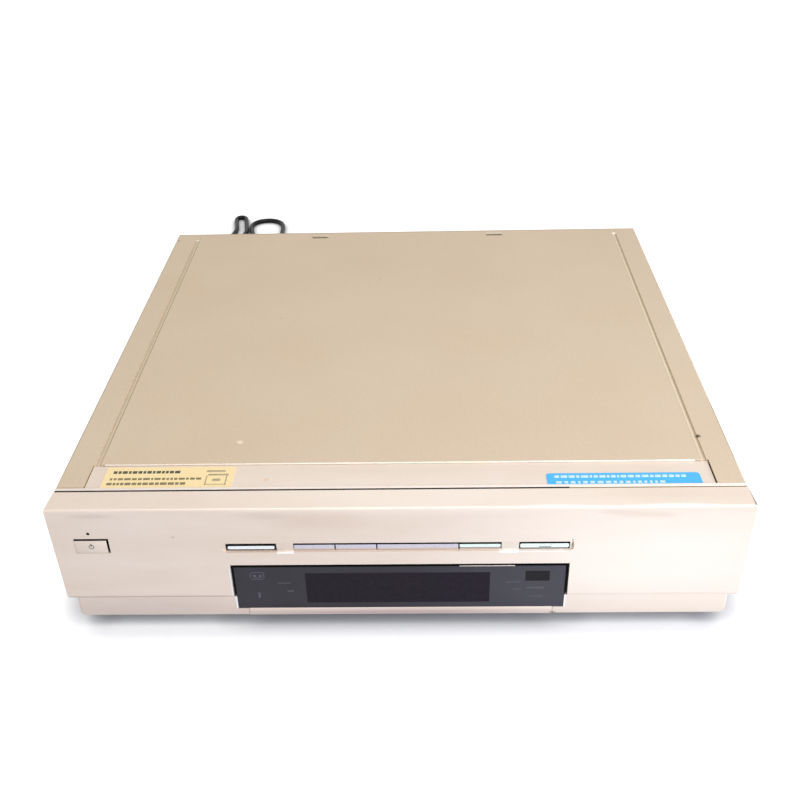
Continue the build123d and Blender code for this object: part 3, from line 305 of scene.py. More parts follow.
cord_curve = bpy.data.curves.new("mains_cord", "CURVE")
cord_curve.dimensions = "3D"
spline = cord_curve.splines.new("NURBS")
spline.points.add(len(cord_points) - 1)
for point, place in zip(spline.points, cord_points):
    point.co = (*place, 1)
spline.order_u = 3
spline.use_endpoint_u = True
spline.resolution_u = 6
cord_curve.bevel_depth = cord_radius
cord_curve.bevel_resolution = 3
cord_curve.use_fill_caps = True
mains_cord = bpy.data.objects.new("mains_cord", cord_curve)
bpy.context.scene.collection.objects.link(mains_cord)


# Materials

# Marks of age, and of painted light and shade: place and reach in millimetres of the row frame,
# colour, strength, and whether the mark is a strip with firm sides
cover_dirt_and_painted_light = (
    # an old yellow stain at the left, towards the rear
    ((-190.0, 106.0, 98.5), (24.0, 24.0, 24.0), "CDB27C", 0.16, False),
    ((-176.0, 84.0, 98.5), (14.0, 14.0, 14.0), "CDB27C", 0.12, False),
    # specks of dirt, a rubbed spot and a chip
    ((-20.6, 103.2, 99.0), (1.2, 1.2, 1.2), "B59E80", 0.7, False),
    ((-98.4, 34.1, 99.0), (1.2, 1.2, 1.2), "B59E80", 0.7, False),
    ((-105.8, -140.6, 99.0), (2.9, 2.9, 2.9), "FBEACF", 0.9, False),
    ((-107.6, -142.2, 99.0), (1.6, 1.6, 1.6), "C4AC8C", 0.5, False),
    ((-212.4, 190.2, 98.8), (1.6, 1.6, 1.6), "6E5C46", 0.8, False),
    ((196.6, -138.3, 98.8), (2.8, 2.4, 2.4), "2C241A", 1.0, False),
    # the shade and the light along the two stamped grooves
    ((-195.4, 13.5, 99.0), (0.8, 177.0, 5.0), "BCA98B", 0.6, True),
    ((-194.1, 13.5, 99.0), (0.6, 177.0, 5.0), "EFE2CD", 0.5, True),
    ((-192.9, 13.5, 99.0), (0.6, 177.0, 5.0), "9C8C6C", 0.7, True),
    ((195.5, 13.5, 99.0), (0.7, 177.0, 5.0), "B3A183", 0.5, True),
    ((194.0, 13.5, 99.0), (0.8, 177.0, 5.0), "EFE2CD", 0.5, True),
    ((192.9, 13.5, 99.0), (0.4, 177.0, 5.0), "BDAB8D", 0.4, True),
    # painted highlights at the grooves' rear ends
    ((-194.7, 192.2, 98.6), (2.4, 2.4, 2.4), "FFFAF0", 1.0, False),
    ((194.8, 194.0, 98.6), (2.6, 2.6, 2.6), "FFFAF0", 1.0, False),
    # the two rear slots: painted shade in each, and a painted highlight on the lip behind
    ((-79.6, 193.2, 99.0), (7.4, 1.6, 5.0), "6E6046", 0.9, True),
    ((-79.6, 196.8, 99.0), (7.6, 1.3, 5.0), "F2E2CE", 0.7, True),
    ((83.2, 194.2, 99.0), (7.4, 1.6, 5.0), "6E6046", 0.9, True),
    ((83.2, 197.8, 99.0), (7.6, 1.3, 5.0), "F2E2CE", 0.7, True),
    # painted shade along the bends at the rear and the sides
    ((0.0, 203.9, 99.0), (215.0, 1.0, 5.0), "A28A74", 0.5, True),
    ((-214.7, 20.0, 99.0), (0.8, 190.0, 6.0), "8A8672", 0.55, True),
    ((214.7, -130.0, 99.0), (0.7, 34.0, 6.0), "6F6A58", 0.6, True),
)
front_dirt_and_painted_light = (
    # painted light on the right half and on the top
    ((150.0, -210.5, 56.0), (140.0, 14.0, 62.0), "FFF6EA", 0.6, False),
    ((10.0, -200.0, 99.0), (150.0, 30.0, 8.0), "FFF6EC", 0.35, False),
    # painted shade on the left of the skirt, and on the strip under the window
    ((-170.0, -209.5, 14.0), (110.0, 20.0, 17.0), "C9B8B2", 0.45, False),
    ((0.0, -209.5, 11.4), (120.0, 3.0, 4.6), "B9A2A2", 0.75, False),
    # hand marks along the top of the door
    ((146.0, -210.5, 92.4), (22.0, 6.0, 4.2), "C4A484", 0.2, False),
    ((162.0, -210.5, 91.4), (12.0, 6.0, 3.2), "C4A484", 0.15, False),
    ((130.0, -210.5, 94.0), (12.0, 6.0, 2.6), "C4A484", 0.16, False),
    ((-188.0, -210.5, 93.5), (18.0, 5.0, 2.4), "C4B3A8", 0.34, False),
    ((-82.0, -210.5, 93.0), (22.0, 5.0, 4.0), "C4B3A8", 0.28, False),
    ((-50.0, -210.5, 88.0), (40.0, 5.0, 10.0), "C9B2A0", 0.24, False),
    # a speck, a painted highlight on the partly rubbed top edge, a shelf spot and a skirt chip
    ((-139.5, -210.5, 76.6), (1.1, 5.0, 1.1), "9C8674", 0.5, False),
    ((96.0, -209.8, 98.6), (26.0, 3.0, 1.0), "FFFFFC", 0.9, False),
    ((168.0, -209.8, 98.6), (34.0, 3.0, 1.3), "FFFFFC", 0.9, False),
    ((-83.4, -180.3, 97.8), (2.6, 2.2, 3.0), "E6B478", 0.45, False),
    ((98.6, -209.5, 10.6), (2.8, 3.0, 1.2), "94744E", 0.8, False),
    # painted shade on the rim at the door's right end, and in the seam above the skirt
    ((216.0, -199.0, 98.6), (0.9, 12.0, 0.7), "6A6454", 0.7, True),
    ((-160.9, -209.8, 26.8), (53.8, 3.0, 0.35), "A4908A", 0.7, True),
    ((160.9, -209.8, 26.8), (53.8, 3.0, 0.35), "CDBDB4", 0.3, True),
    # painted highlights on the rims of the notch
    ((-105.8, -209.5, 21.0), (0.6, 3.0, 5.4), "FFFFFF", 0.8, True),
    ((105.8, -209.5, 21.0), (0.6, 3.0, 5.4), "FFFFFF", 0.8, True),
    ((-107.2, -210.5, 40.0), (0.6, 3.0, 13.4), "FFFAF6", 0.7, True),
    # painted highlights on the ledges under the buttons
    ((-70.8, -210.5, 63.4), (5.4, 3.0, 0.8), "FFFFFA", 1.0, True),
    ((68.4, -210.5, 63.3), (5.6, 3.0, 1.1), "FFFFFA", 1.0, True),
    ((89.0, -210.5, 63.3), (15.0, 3.0, 0.5), "FFFFFA", 0.7, True),
)
window_painted_light = (
    # painted light on the window's right end
    ((112.0, -209.5, 33.0), (120.0, 60.0, 60.0), "585762", 0.4, False),
)


def marked(tree, place, colour, marks):
    """Lays marks over a colour: soft ovals, or strips with firm sides."""
    for centre, reach, tint, strength, strip in marks:
        away = add(tree, "VectorMath", {0: place}, operation="SUBTRACT")
        away.inputs[1].default_value = centre
        share = add(tree, "VectorMath", {0: away.outputs["Vector"]}, operation="DIVIDE")
        share.inputs[1].default_value = reach
        if strip:
            sides = add(tree, "VectorMath", {0: share.outputs["Vector"]}, operation="ABSOLUTE")
            sides = add(tree, "SeparateXYZ", {"Vector": sides.outputs["Vector"]}).outputs
            wider = add(tree, "Math", {0: sides["X"], 1: sides["Y"]}, operation="MAXIMUM")
            wider = add(tree, "Math", {0: wider.outputs[0], 1: sides["Z"]}, operation="MAXIMUM")
            distance, full, gone = wider.outputs[0], 0.9, 1.1
        else:
            length = add(tree, "VectorMath", {0: share.outputs["Vector"]}, operation="LENGTH")
            distance, full, gone = length.outputs["Value"], 0.25, 1.0
        cover = add(tree, "MapRange", {"Value": distance}, From_Min=full, From_Max=gone,
                    To_Min=strength, To_Max=0.0)
        mix = add(tree, "MixRGB", {"Fac": cover.outputs["Result"], "Color1": colour},
                  Color2=linear(tint))
        colour = mix.outputs["Color"]
    return colour


def two_tones(tree, pattern, dark, light, high=0.7):
    """Spreads a pattern between two close colours."""
    tone = add(tree, "ValToRGB", {"Fac": pattern.outputs["Fac"]})
    tone.color_ramp.elements[0].position = 0.3
    tone.color_ramp.elements[0].color = linear(dark)
    tone.color_ramp.elements[1].position = high
    tone.color_ramp.elements[1].color = linear(light)
    return tone.outputs["Color"]


def painted_steel():
    """Champagne acrylic paint baked on sheet steel: a matte, fine-grained beige, with a faint
    old stain and a few specks of dirt, and painted shade and highlights along its grooves,
    slots and bends."""
    material, tree, shader, place = new_material("painted_steel_champagne")
    grain = add(tree, "TexNoise", {"Vector": place}, Scale=1.3, Detail=3.0, Roughness=0.7)
    cloud = add(tree, "TexNoise", {"Vector": place}, Scale=0.012, Detail=2.0)
    tone = two_tones(tree, grain, "D6C4AC", "E3D1BB", high=0.72)
    drift = add(tree, "MixRGB", {"Fac": cloud.outputs["Fac"], "Color1": tone},
                blend_type="MULTIPLY", Color2=linear("F7F2EA"))
    paint = marked(tree, place, drift.outputs["Color"], cover_dirt_and_painted_light)
    wire(tree, paint, shader, "Base Color")
    bump = add(tree, "Bump", {"Height": grain.outputs["Fac"]}, Strength=0.12, Distance=0.00004)
    wire(tree, bump.outputs["Normal"], shader, "Normal")
    shader.inputs["Roughness"].default_value = 0.6
    shader.inputs["IOR"].default_value = 1.42
    return material


def painted_plastic():
    """Moulded ABS under a satin pearl champagne paint: pinkish beige and smooth, with a
    broad soft shine and hand marks, and painted light and shade: a lit right half and top,
    shaded seams and skirt, and highlights on its partly rubbed edges and its ledges."""
    material, tree, shader, place = new_material("painted_abs_champagne")
    fleck = add(tree, "TexNoise", {"Vector": place}, Scale=2.2, Detail=2.0, Roughness=0.6)
    wiped = add(tree, "Mapping", {"Vector": place}, Scale=(0.35, 1, 1.6))
    wear = add(tree, "TexNoise", {"Vector": wiped.outputs["Vector"]},
               Scale=0.03, Detail=5.0, Roughness=0.62)
    tone = two_tones(tree, fleck, "EBDDD2", "F6EADF")
    drift = add(tree, "MixRGB", {"Fac": wear.outputs["Fac"], "Color1": tone},
                blend_type="MULTIPLY", Color2=linear("EDE5DA"))
    paint = marked(tree, place, drift.outputs["Color"], front_dirt_and_painted_light)
    wire(tree, paint, shader, "Base Color")
    gloss = add(tree, "MapRange", {"Value": wear.outputs["Fac"]}, To_Min=0.30, To_Max=0.40)
    wire(tree, gloss.outputs["Result"], shader, "Roughness")
    bump = add(tree, "Bump", {"Height": fleck.outputs["Fac"]}, Strength=0.05, Distance=0.00002)
    wire(tree, bump.outputs["Normal"], shader, "Normal")
    shader.inputs["IOR"].default_value = 1.5
    shader.inputs["Metallic"].default_value = 0.2
    return material


def grained(name, dark, light, scale, rough, bump=0.05, depth=0.02, metallic=0.0, ior=None,
            stretch=None, marks=()):
    """A finish with a fine pattern of two close colours, its size in patterns per
    millimetre, a lowest and a highest roughness, and a relief depth in millimetres."""
    material, tree, shader, place = new_material(name)
    if stretch:
        place = add(tree, "Mapping", {"Vector": place}, Scale=stretch).outputs["Vector"]
    grain = add(tree, "TexNoise", {"Vector": place}, Scale=scale, Detail=3.0, Roughness=0.6)
    tone = two_tones(tree, grain, dark, light)
    wire(tree, marked(tree, place, tone, marks), shader, "Base Color")
    gloss = add(tree, "MapRange", {"Value": grain.outputs["Fac"]}, To_Min=rough[0], To_Max=rough[1])
    wire(tree, gloss.outputs["Result"], shader, "Roughness")
    relief = add(tree, "Bump", {"Height": grain.outputs["Fac"]}, Strength=bump, Distance=depth * MM)
    wire(tree, relief.outputs["Normal"], shader, "Normal")
    shader.inputs["Metallic"].default_value = metallic
    if ior:
        shader.inputs["IOR"].default_value = ior
    return material


cover_paint = painted_steel()
front_paint = painted_plastic()

# Metallised buttons: thin bright vacuum plating under lacquer, with a green or lilac cast
button_bright = grained("metallised_abs_bright", "E9EDEE", "F4F8F8", 0.6, (0.28, 0.34),
                        metallic=0.3)
button_lilac = grained("metallised_abs_lilac", "C6C2CE", "D6D3DD", 0.6, (0.30, 0.36), metallic=0.2)
button_mint = grained("metallised_abs_mint", "DEF2EA", "ECFBF5", 0.6, (0.28, 0.34), metallic=0.3)

# Cast acrylic with a smoke dye. A hard anti-glare coat makes it mirror less than bare acrylic,
# so its index is lower. Grey print lies under it, except over the screen and the receiver.
smoked_print = grained("smoked_acrylic_over_grey_print", "28262E", "2F2D36", 0.05, (0.07, 0.1),
                       bump=0.0, ior=1.33, marks=window_painted_light)
smoked_clear = grained("smoked_acrylic_over_screen", "1C141F", "221A26", 0.3, (0.06, 0.09),
                       bump=0.0, ior=1.2)
receiver_glass = grained("smoked_acrylic_over_receiver", "100E14", "16141B", 0.3, (0.06, 0.09),
                         bump=0.0, ior=1.25)
# Fluorescent display tube: dark glass over a dark grid
tube_glass = grained("display_tube_glass", "1E1A22", "26212B", 0.2, (0.08, 0.12),
                     bump=0.0, ior=1.52)
# The clear rod that lights above the power button, dark while the deck is off
dark_lens = grained("dark_tinted_light_pipe", "0C1A10", "142218", 0.6, (0.2, 0.3), ior=1.3)

# Screen-printed ink, dull and flat, on the window, the buttons and the labels
faint_print = grained("grey_ink_on_acrylic", "45444E", "4C4B55", 1.0, (0.4, 0.5), bump=0.0)
dark_print = grained("dark_ink_on_metallised_abs", "39403C", "454C48", 1.0, (0.4, 0.5), bump=0.0)
green_black_ink = grained("black_ink_on_coated_paper", "3C4231", "4A503C", 1.5, (0.5, 0.6),
                          bump=0.0)
brown_ink = grained("dark_ink_on_coated_paper", "7A6F4C", "8A7E58", 1.5, (0.5, 0.6), bump=0.0)
grey_ink = grained("grey_ink_on_coated_paper", "A89B7C", "B8AA8A", 1.5, (0.5, 0.6), bump=0.0)
white_ink = grained("white_ink_on_film", "C6E8FA", "D6F0FC", 1.5, (0.45, 0.55), bump=0.0)
# The labels' clay-coated paper and printed film, with a slight sheen
yellow_paper = grained("yellow_coated_paper", "FBE0A6", "FFE9B6", 0.5, (0.4, 0.48),
                       bump=0.03, ior=1.5)
blue_film = grained("blue_printed_film", "3FB2F5", "4CBEFC", 0.5, (0.3, 0.38), bump=0.03, ior=1.5)

# Black polystyrene and grey ABS, moulded with a spark-eroded grain that keeps them dull
black_plastic = grained("black_polystyrene", "1B1B1D", "242426", 1.2, (0.5, 0.62),
                        bump=0.2, depth=0.03, ior=1.55)
grey_plastic = grained("grey_abs", "55555A", "616166", 1.0, (0.45, 0.55),
                       bump=0.15, depth=0.03, ior=1.53)
# The unpainted black edge of a moulding, and the same near-black as painted shade in narrow gaps
# and holes
black_edge_and_gap_shade = grained("bare_black_abs_and_painted_gap_shade", "060908", "0B0F0D", 1.2, (0.7, 0.8), bump=0.1, ior=1.3)
# Painted shade for seams and gaps, grey brown in some and black in others
brown_gap_shade = grained("grey_brown_painted_gap_shade", "7A6F4C", "8A7E58", 2.0, (0.9, 0.98), bump=0.2)
black_gap_shade = grained("black_painted_gap_shade", "0B0F08", "151A10", 3.0, (0.9, 0.98), bump=0.4, depth=0.06)
# Painted highlights: pale paint colours for edges and lips that catch the light
painted_highlight_abs = grained("painted_abs_painted_highlight", "F6E8DD", "FFF2E8", 0.4, (0.3, 0.4), bump=0.1)
painted_highlight_steel = grained("painted_steel_painted_highlight", "F6E9D8", "FFF6E8", 0.4, (0.3, 0.4), bump=0.1)

# Moulded nylon in the jacks, and acetal in the reels: satin, with hardly any grain
jack_yellow = grained("yellow_jack_nylon", "D9B321", "E6C22C", 1.0, (0.35, 0.45))
jack_white = grained("white_jack_nylon", "DEDEDA", "E9E9E5", 1.0, (0.35, 0.45))
jack_red = grained("red_jack_nylon", "B3262A", "C23034", 1.0, (0.35, 0.45))
jack_black = grained("black_jack_nylon", "1C1C1D", "262627", 1.0, (0.4, 0.5))
white_acetal = grained("white_acetal", "D9D9D2", "E4E4DE", 0.4, (0.35, 0.42), bump=0.03, ior=1.48)
# Zinc-plated sheet and screws: bright metal with a soft spangle
zinc_sheet = grained("zinc_plated_sheet", "9C9E9C", "B9BBB9", 0.25, (0.32, 0.45), metallic=0.9)
screw_zinc = grained("yellow_zinc_screw", "8F8A78", "A9A38D", 0.8, (0.28, 0.38), metallic=1.0)
# Turned aluminium with rings from the tool, ground steel and nickel plate
turned_aluminium = grained("turned_aluminium", "B9BABD", "D0D1D4", 0.7, (0.16, 0.26),
                           metallic=1.0, stretch=(1, 1, 6))
polished_steel = grained("ground_steel_shaft", "A5A7AA", "BFC1C4", 1.0, (0.14, 0.2), metallic=1.0)
nickel = grained("nickel_plate", "B7B2A8", "CBC7BD", 0.5, (0.14, 0.22), metallic=1.0)
# Brown phenolic paper board, and the transformer's varnished stack of iron sheets
phenolic = grained("paper_phenolic_board", "8A6B35", "9C7B40", 0.3, (0.42, 0.5), ior=1.55)
iron_core = grained("varnished_core_iron", "3E3A36", "4B4640", 0.6, (0.4, 0.5),
                    metallic=0.4, stretch=(1, 8, 1))
# Nitrile rubber, moulded or ground, the moulded one also for the sheets of painted shade
# behind the buttons, and the cord's soft PVC with its light gloss
rubber_and_shade_sheet = grained("nitrile_rubber_and_painted_shade", "1E1E1E", "282828", 0.9, (0.7, 0.8), bump=0.2, ior=1.52)
roller_rubber = grained("ground_roller_rubber", "262525", "302F2F", 1.6, (0.55, 0.65),
                        bump=0.15, ior=1.52)
cord_pvc = grained("black_cord_pvc", "070708", "0C0C0E", 0.8, (0.3, 0.4),
                   bump=0.08, depth=0.03, ior=1.33)

# Each node of the solids with its finish
finishes = (
    (cover_paint, ("top_cover",)),
    (front_paint, ("front_bezel", "front_door", "display_sill", "power_button")),
    (button_bright, ("dv_eject_button", "stop_button", "vhs_eject_button")),
    (button_lilac, ("rewind_button", "forward_button", "play_button")),
    (smoked_print, ("display_window",)),
    (tube_glass, ("display_tube",)),
    (dark_lens, ("power_light",)),
    (yellow_paper, ("yellow_label",)),
    (blue_film, ("blue_label",)),
    (black_plastic, ("feet", "door_liner", "power_capacitors")),
    (grey_plastic, ("display_holder", "vhs_flap", "dv_flap")),
    (rubber_and_shade_sheet, ("foot_pads",)),
    (roller_rubber, ("vhs_pinch_roller",)),
    (cord_pvc, ("strain_relief", "power_plug")),
    (phenolic, ("front_board", "door_board", "power_board", "main_board")),
    (iron_core, ("transformer",)),
    (white_acetal, ("vhs_supply_reel", "vhs_takeup_reel", "dv_supply_reel", "dv_takeup_reel")),
    (nickel, ("rear_jacks", "front_jacks")),
    (screw_zinc, ("cover_screws",)),
    (polished_steel, ("vhs_capstan", "vhs_supply_guide", "vhs_takeup_guide")),
    (turned_aluminium, (
        "vhs_drum_base", "vhs_head_drum", "dv_drum_base", "dv_head_drum", "heatsink",
    )),
    (zinc_sheet, (
        "chassis_base", "rear_panel", "tuner_module", "vhs_mech_plate", "vhs_side_frames",
        "vhs_cassette_holder", "vhs_capstan_motor", "vhs_pinch_arm", "vhs_loading_motor",
        "dv_mech_plate", "dv_side_frames", "dv_cassette_holder",
    )),
)
for finish, node_names in finishes:
    for node_name in node_names:
        for material_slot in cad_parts[node_name].material_slots:
            material_slot.material = finish


# Detail pieces. Their places are written as in the source, in millimetres:
# x from the middle, y back from the closed door's face, z up from the floor.

FRONT = -210.5  # the door's face in the row frame
screen_x, screen_z = (-60.0, 57.5), (20.1, 45.4)
receiver_x, receiver_z = (79.8, 95.2), (37.9, 46.3)
window_low, window_high = (-105.0, 4.0, 15.6), (105.0, 6.0, 52.6)
window_face, face_top = 1.0, 50.6
ink = 0.04  # how far a print stands out


def at(x, y, z):
    """A place as the source writes it, in the row frame."""
    return (x, FRONT + y, z)


def box_at(name, low, high):
    """A box between two corners as the source writes them."""
    return box_piece(name, at(*low), at(*high))


def cut_along(point, normal):
    """Cuts every face of the open piece along a plane."""
    bpy.ops.mesh.select_all(action="SELECT")
    bpy.ops.mesh.bisect(plane_co=[c * MM for c in at(*point)], plane_no=normal)


def moved(shift):
    """Moves what is selected, by millimetres."""
    bpy.ops.transform.translate(value=[s * MM for s in shift])


def thicken(piece, thickness):
    """Gives an open sheet its thickness inwards."""
    nothing_selected()
    bpy.context.view_layer.objects.active = piece
    piece.select_set(True)
    wall = piece.modifiers.new("wall", "SOLIDIFY")
    wall.thickness = thickness * MM
    wall.offset = -1
    bpy.ops.object.modifier_apply(modifier=wall.name)


def extruded(along_y):
    """Extrudes what is selected along y, by millimetres."""
    bpy.ops.mesh.extrude_region_move(TRANSFORM_OT_translate={"value": (0, along_y * MM, 0)})


def resized(shares, *point):
    """Scales what is selected about a point."""
    bpy.ops.transform.resize(value=shares, center_override=[c * MM for c in at(*point)])


def also(piece, material, test):
    """Gives the faces that pass a test a further material."""
    piece.data.materials.append(material)
    edit(piece)
    pick(piece, test)
    piece.active_material_index = len(piece.data.materials) - 1
    bpy.ops.object.material_slot_assign()
    bpy.ops.object.mode_set(mode="OBJECT")


def printed(pieces, name, ink_colour):
    """Joins prints, softens their edges and gives them their ink."""
    finished(rounded(joined(pieces, name), ink / 2), ink_colour, "deck")


def smoked_window():
    """The window: a slab whose face stands forward, printed grey except over the
    screen and the receiver, with painted shade in black on its top and sides where it
    stands in the door's notch."""
    window = box_at("smoked_window", window_low, window_high)
    edit(window)
    cut_along((0, 0, face_top), (0, 0, 1))
    pick(window, lambda c, n: n.y < -0.9 and c.z < face_top)
    extruded(window_face - window_low[1])
    done(window)
    rounded(window, 0.25)
    edit(window)
    for x in screen_x + receiver_x:
        cut_along((x, 0, 0), (1, 0, 0))
    for z in screen_z + receiver_z:
        cut_along((0, 0, z), (0, 0, 1))
    done(window)
    finished(window, smoked_print, "deck")
    front = FRONT + window_face + 0.1
    slab = FRONT + window_low[1]

    def inside(face, across, up):
        return face.y < front and across[0] < face.x < across[1] and up[0] < face.z < up[1]

    also(window, smoked_clear, lambda c, n: inside(c, screen_x, screen_z))
    also(window, receiver_glass, lambda c, n: inside(c, receiver_x, receiver_z))
    # painted shade: black on the slab's top and sides, in the gaps of the notch
    also(window, black_edge_and_gap_shade, lambda c, n: (n.z > 0.9 or abs(n.x) > 0.9) and c.y < slab)
    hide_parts("display_window")


def window_prints():
    """Plain marks on the window: a framed box, a dot below it and short lines."""
    # left, foot, width and height
    places = (
        (-95.2, 46.0, 9.2, 0.6), (-95.2, 40.2, 9.2, 0.6), (-95.2, 40.2, 0.6, 6.4),
        (-86.6, 40.2, 0.6, 6.4), (-93.2, 42.2, 2.0, 2.2), (-89.4, 42.2, 1.8, 2.2),
        (-91.6, 41.4, 2.4, 0.7), (-91.4, 24.6, 1.6, 4.6), (-78.0, 36.9, 8.6, 0.6),
        (-72.2, 29.8, 4.2, 1.0), (67.8, 36.6, 9.4, 0.7), (72.1, 30.5, 5.4, 0.8),
        (80.7, 31.4, 11.2, 1.2), (81.0, 24.4, 10.4, 0.7),
    )
    marks = [
        box_at(f"mark_{number}", (x, window_face - ink, z), (x + wide, window_face + 0.1, z + high))
        for number, (x, z, wide, high) in enumerate(places)
    ]
    printed(marks, "window_prints", faint_print)


def window_shroud():
    """The black shroud round the display holder, a dark sheet that paints the shade in the gap
    between the window and the door, and a painted glint along the upper lip of the window."""
    shroud = box_at("window_shroud", (-106.8, 2.7, 26.6), (106.8, 18.4, 52.9))
    edit(shroud)
    pick(shroud, lambda c, n: abs(n.y) > 0.9 or n.z < -0.9)
    bpy.ops.mesh.delete(type="FACE")
    done(shroud)
    thicken(shroud, 1.6)
    # painted shade: a black sheet in the gap round the window
    finished(shroud, black_edge_and_gap_shade, "deck")
    # painted glint: a pale strip on the window's top edge
    glint = box_at("window_top_glint", (38.0, 1.02, 50.3), (73.0, 1.5, 50.75))
    finished(rounded(glint, 0.12), painted_highlight_steel, "deck")


bar_low, bar_lip, bar_high = 64.3, 66.6, 69.5


def bar_button(name, span, spare, face, lip=bar_lip):
    """A button of the row: a bright upper bar, a small step, and a painted chin that leans back."""
    bar = box_at(name, (span[0] + spare, 0.3, bar_low), (span[1] - spare, 2.5, bar_high))
    edit(bar)
    step = 0.3
    for z in (lip, lip - step):
        cut_along((0, 0, z), (0, 0, 1))
    near = FRONT + 1.0
    pick(bar, lambda v, n: v.y < near and v.z < lip - 0.1, "VERT")
    moved((0, 0.45, 0))
    pick(bar, lambda v, n: v.y < near and v.z < bar_low + 0.1, "VERT")
    moved((0, 0.85, 0))
    done(bar)
    rounded(bar, 0.2, limit=60)
    finished(bar, face, name)
    also(bar, front_paint, lambda c, n: n.y < -0.5 and c.z < lip - step / 2)
    # painted shade, partly the bare dark moulding: black on the top, the ends and the underside,
    # where the gaps round the bar lie
    also(bar, black_edge_and_gap_shade,
         lambda c, n: n.z > 0.7 or abs(n.x) > 0.7 or (n.z < -0.7 and c.z > bar_low + 1))
    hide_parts(name)


def framed_button(name, span, spare, lip, bar_x, bar_z, face, open_left=False):
    """A button with a black front and a bright bar with rounded ends standing on it."""
    bar_button(name, span, spare, black_edge_and_gap_shade, lip)
    bar = box_at(name + "_bar", (bar_x[0], 0.1, bar_z[0]), (bar_x[1], 0.9, bar_z[1]))
    edit(bar)
    start = bar_x[0] + 1 if open_left else bar_x[0] - 1
    pick(bar, lambda e, d: abs(d.y) > 0.9 and e.x > start, "EDGE")
    bpy.ops.mesh.bevel(offset=0.9 * MM, segments=4)
    done(bar)
    finished(rounded(bar, 0.12, limit=60), face, name)


def button_row():
    """The six buttons above the window, with painted highlights on the ledges
    and painted shade round them.
    """
    framed_button("dv_eject_button", (-107.8, -76.0), 0.5, 65.7,
                  (-106.5, -77.2), (66.4, 68.9), button_bright)
    for name, span in (("rewind_button", (-65.5, -39.4)), ("forward_button", (-39.4, -13.4)),
                       ("play_button", (-13.4, 37.6))):
        bar_button(name, span, 0.35, button_lilac)
    framed_button("stop_button", (37.6, 64.0), 0.4, 66.4,
                  (38.0, 63.4), (66.9, 69.3), button_mint, open_left=True)
    framed_button("vhs_eject_button", (74.8, 106.2), 0.5, 65.5,
                  (75.4, 105.5), (66.2, 69.4), button_mint)
    dash = box_at("eject_dash", (87.0, ink, 66.7), (94.4, 0.3, 67.2))
    finished(rounded(dash, ink), dark_print, "vhs_eject_button")
    for name, left, right in (("ledge_m76_4", -76.4, -65.2), ("ledge_63_7", 63.7, 75.1)):
        # painted highlights: pale strips where the ledges under the buttons catch the light
        ledge = box_at(name, (left, 0.02, 63.55), (right, 1.25, 63.95))
        finished(rounded(ledge, 0.08), painted_highlight_abs, "door")
    # painted shade at the scoop's right end
    arc = box_at("scoop_shade", (107.2, 0.0, 66.8), (107.6, 0.4, 73.2))
    edit(arc)
    for z in (68.4, 70.0, 71.6):
        cut_along((0, 0, z), (0, 0, 1))
    pick(arc, lambda v, n: 67 < v.z < 73, "VERT")
    moved((0.35, 0, 0))
    pick(arc, lambda v, n: 69 < v.z < 71, "VERT")
    moved((0.2, 0, 0))
    done(arc)
    finished(arc, brown_gap_shade, "door")
    # painted shade: a dark sheet behind the buttons, seen through the gaps round them
    sheet = rounded(box_at("button_shade_sheet", (-109.5, 4.0, 63.0), (109.0, 4.4, 72.6)), 0.1)
    finished(sheet, rubber_and_shade_sheet, "door")


def power_button():
    """The power button, with a small ring-and-bar mark."""
    button = box_at("power_button", (-202.25, 0.1, 64.05), (-181.7, 2.8, 74.1))
    rounded(button, 0.35)
    finished(button, front_paint, "power_button")
    # painted shade: black on the top and the right side, where the gap round the button lies in
    # shade
    also(button, black_edge_and_gap_shade, lambda c, n: n.z > 0.9 or n.x > 0.9)
    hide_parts("power_button")
    x, z = -191.8, 69.2
    ring = rod_piece("power_ring", at(x, 0.14, z), 1.7, 0.12, sides=24)
    edit(ring)
    pick(ring, lambda c, n: abs(n.y) > 0.9)
    bpy.ops.mesh.inset(thickness=0.45 * MM)
    pick(ring, lambda c, n: abs(n.y) > 0.9 and math.hypot(c.x - x, c.z - z) < 0.3)
    bpy.ops.mesh.bridge_edge_loops()
    done(ring)
    bar = box_at("power_bar", (-192.1, 0.06, 69.4), (-191.5, 0.2, 71.6))
    finished(joined([ring, bar], "power_mark"), dark_print, "power_button")
    # painted shade: a dark sheet behind the power button, seen through the gap round it
    shade_sheet = box_at("power_shade_sheet", (-204.0, 4.2, 62.6), (-178.6, 4.6, 77.0))
    finished(rounded(shade_sheet, 0.1), rubber_and_shade_sheet, "door")


def rim_lines():
    """Dark strips that paint the shade in the gap behind the door and in the gaps between the
    shelf and the cover's side strips, a pale strip that paints the highlight on the edge above
    the door, and the hem of the cover's front edge, pale as a painted highlight."""
    rim_shades = ((-214.6, 106.0, 19.3, black_gap_shade), (106.0, 214.6, 18.7, brown_gap_shade))
    for side, (left, right, back, shade_finish) in enumerate(rim_shades):
        # painted shade: a dark strip in the gap behind the door
        rim_shade = box_at(f"rim_felt_{side}", (left, 17.6, 97.0), (right, back, 98.74))
        finished(rounded(rim_shade, 0.1), shade_finish, "deck")
    # painted highlight: a pale strip on the edge above the door
    edge = rounded(box_at("rim_edge", (-214.7, 19.05, 98.2), (214.7, 21.9, 98.7)), 0.15)
    finished(edge, painted_highlight_abs, "deck")
    strips = ((-197.6, -197.0, brown_gap_shade), (196.9, 197.6, black_gap_shade))
    for side, (left, right, shade_finish) in enumerate(strips):
        # painted shade: a dark strip between the shelf and a side strip of the cover
        strip = box_at(f"side_felt_{side}", (left, 22.6, 97.0), (right, 44.6, 97.9))
        finished(rounded(strip, 0.1), shade_finish, "deck")
    # the hem, pale as a painted highlight on the cover's front edge
    hem = rod_piece("cover_hem", at(-0.6, 46.25, 98.42), 0.56, 379.0, axis="X", sides=12)
    finished(rounded(hem, 0.2), painted_highlight_steel, "deck")


label_top = 98.0


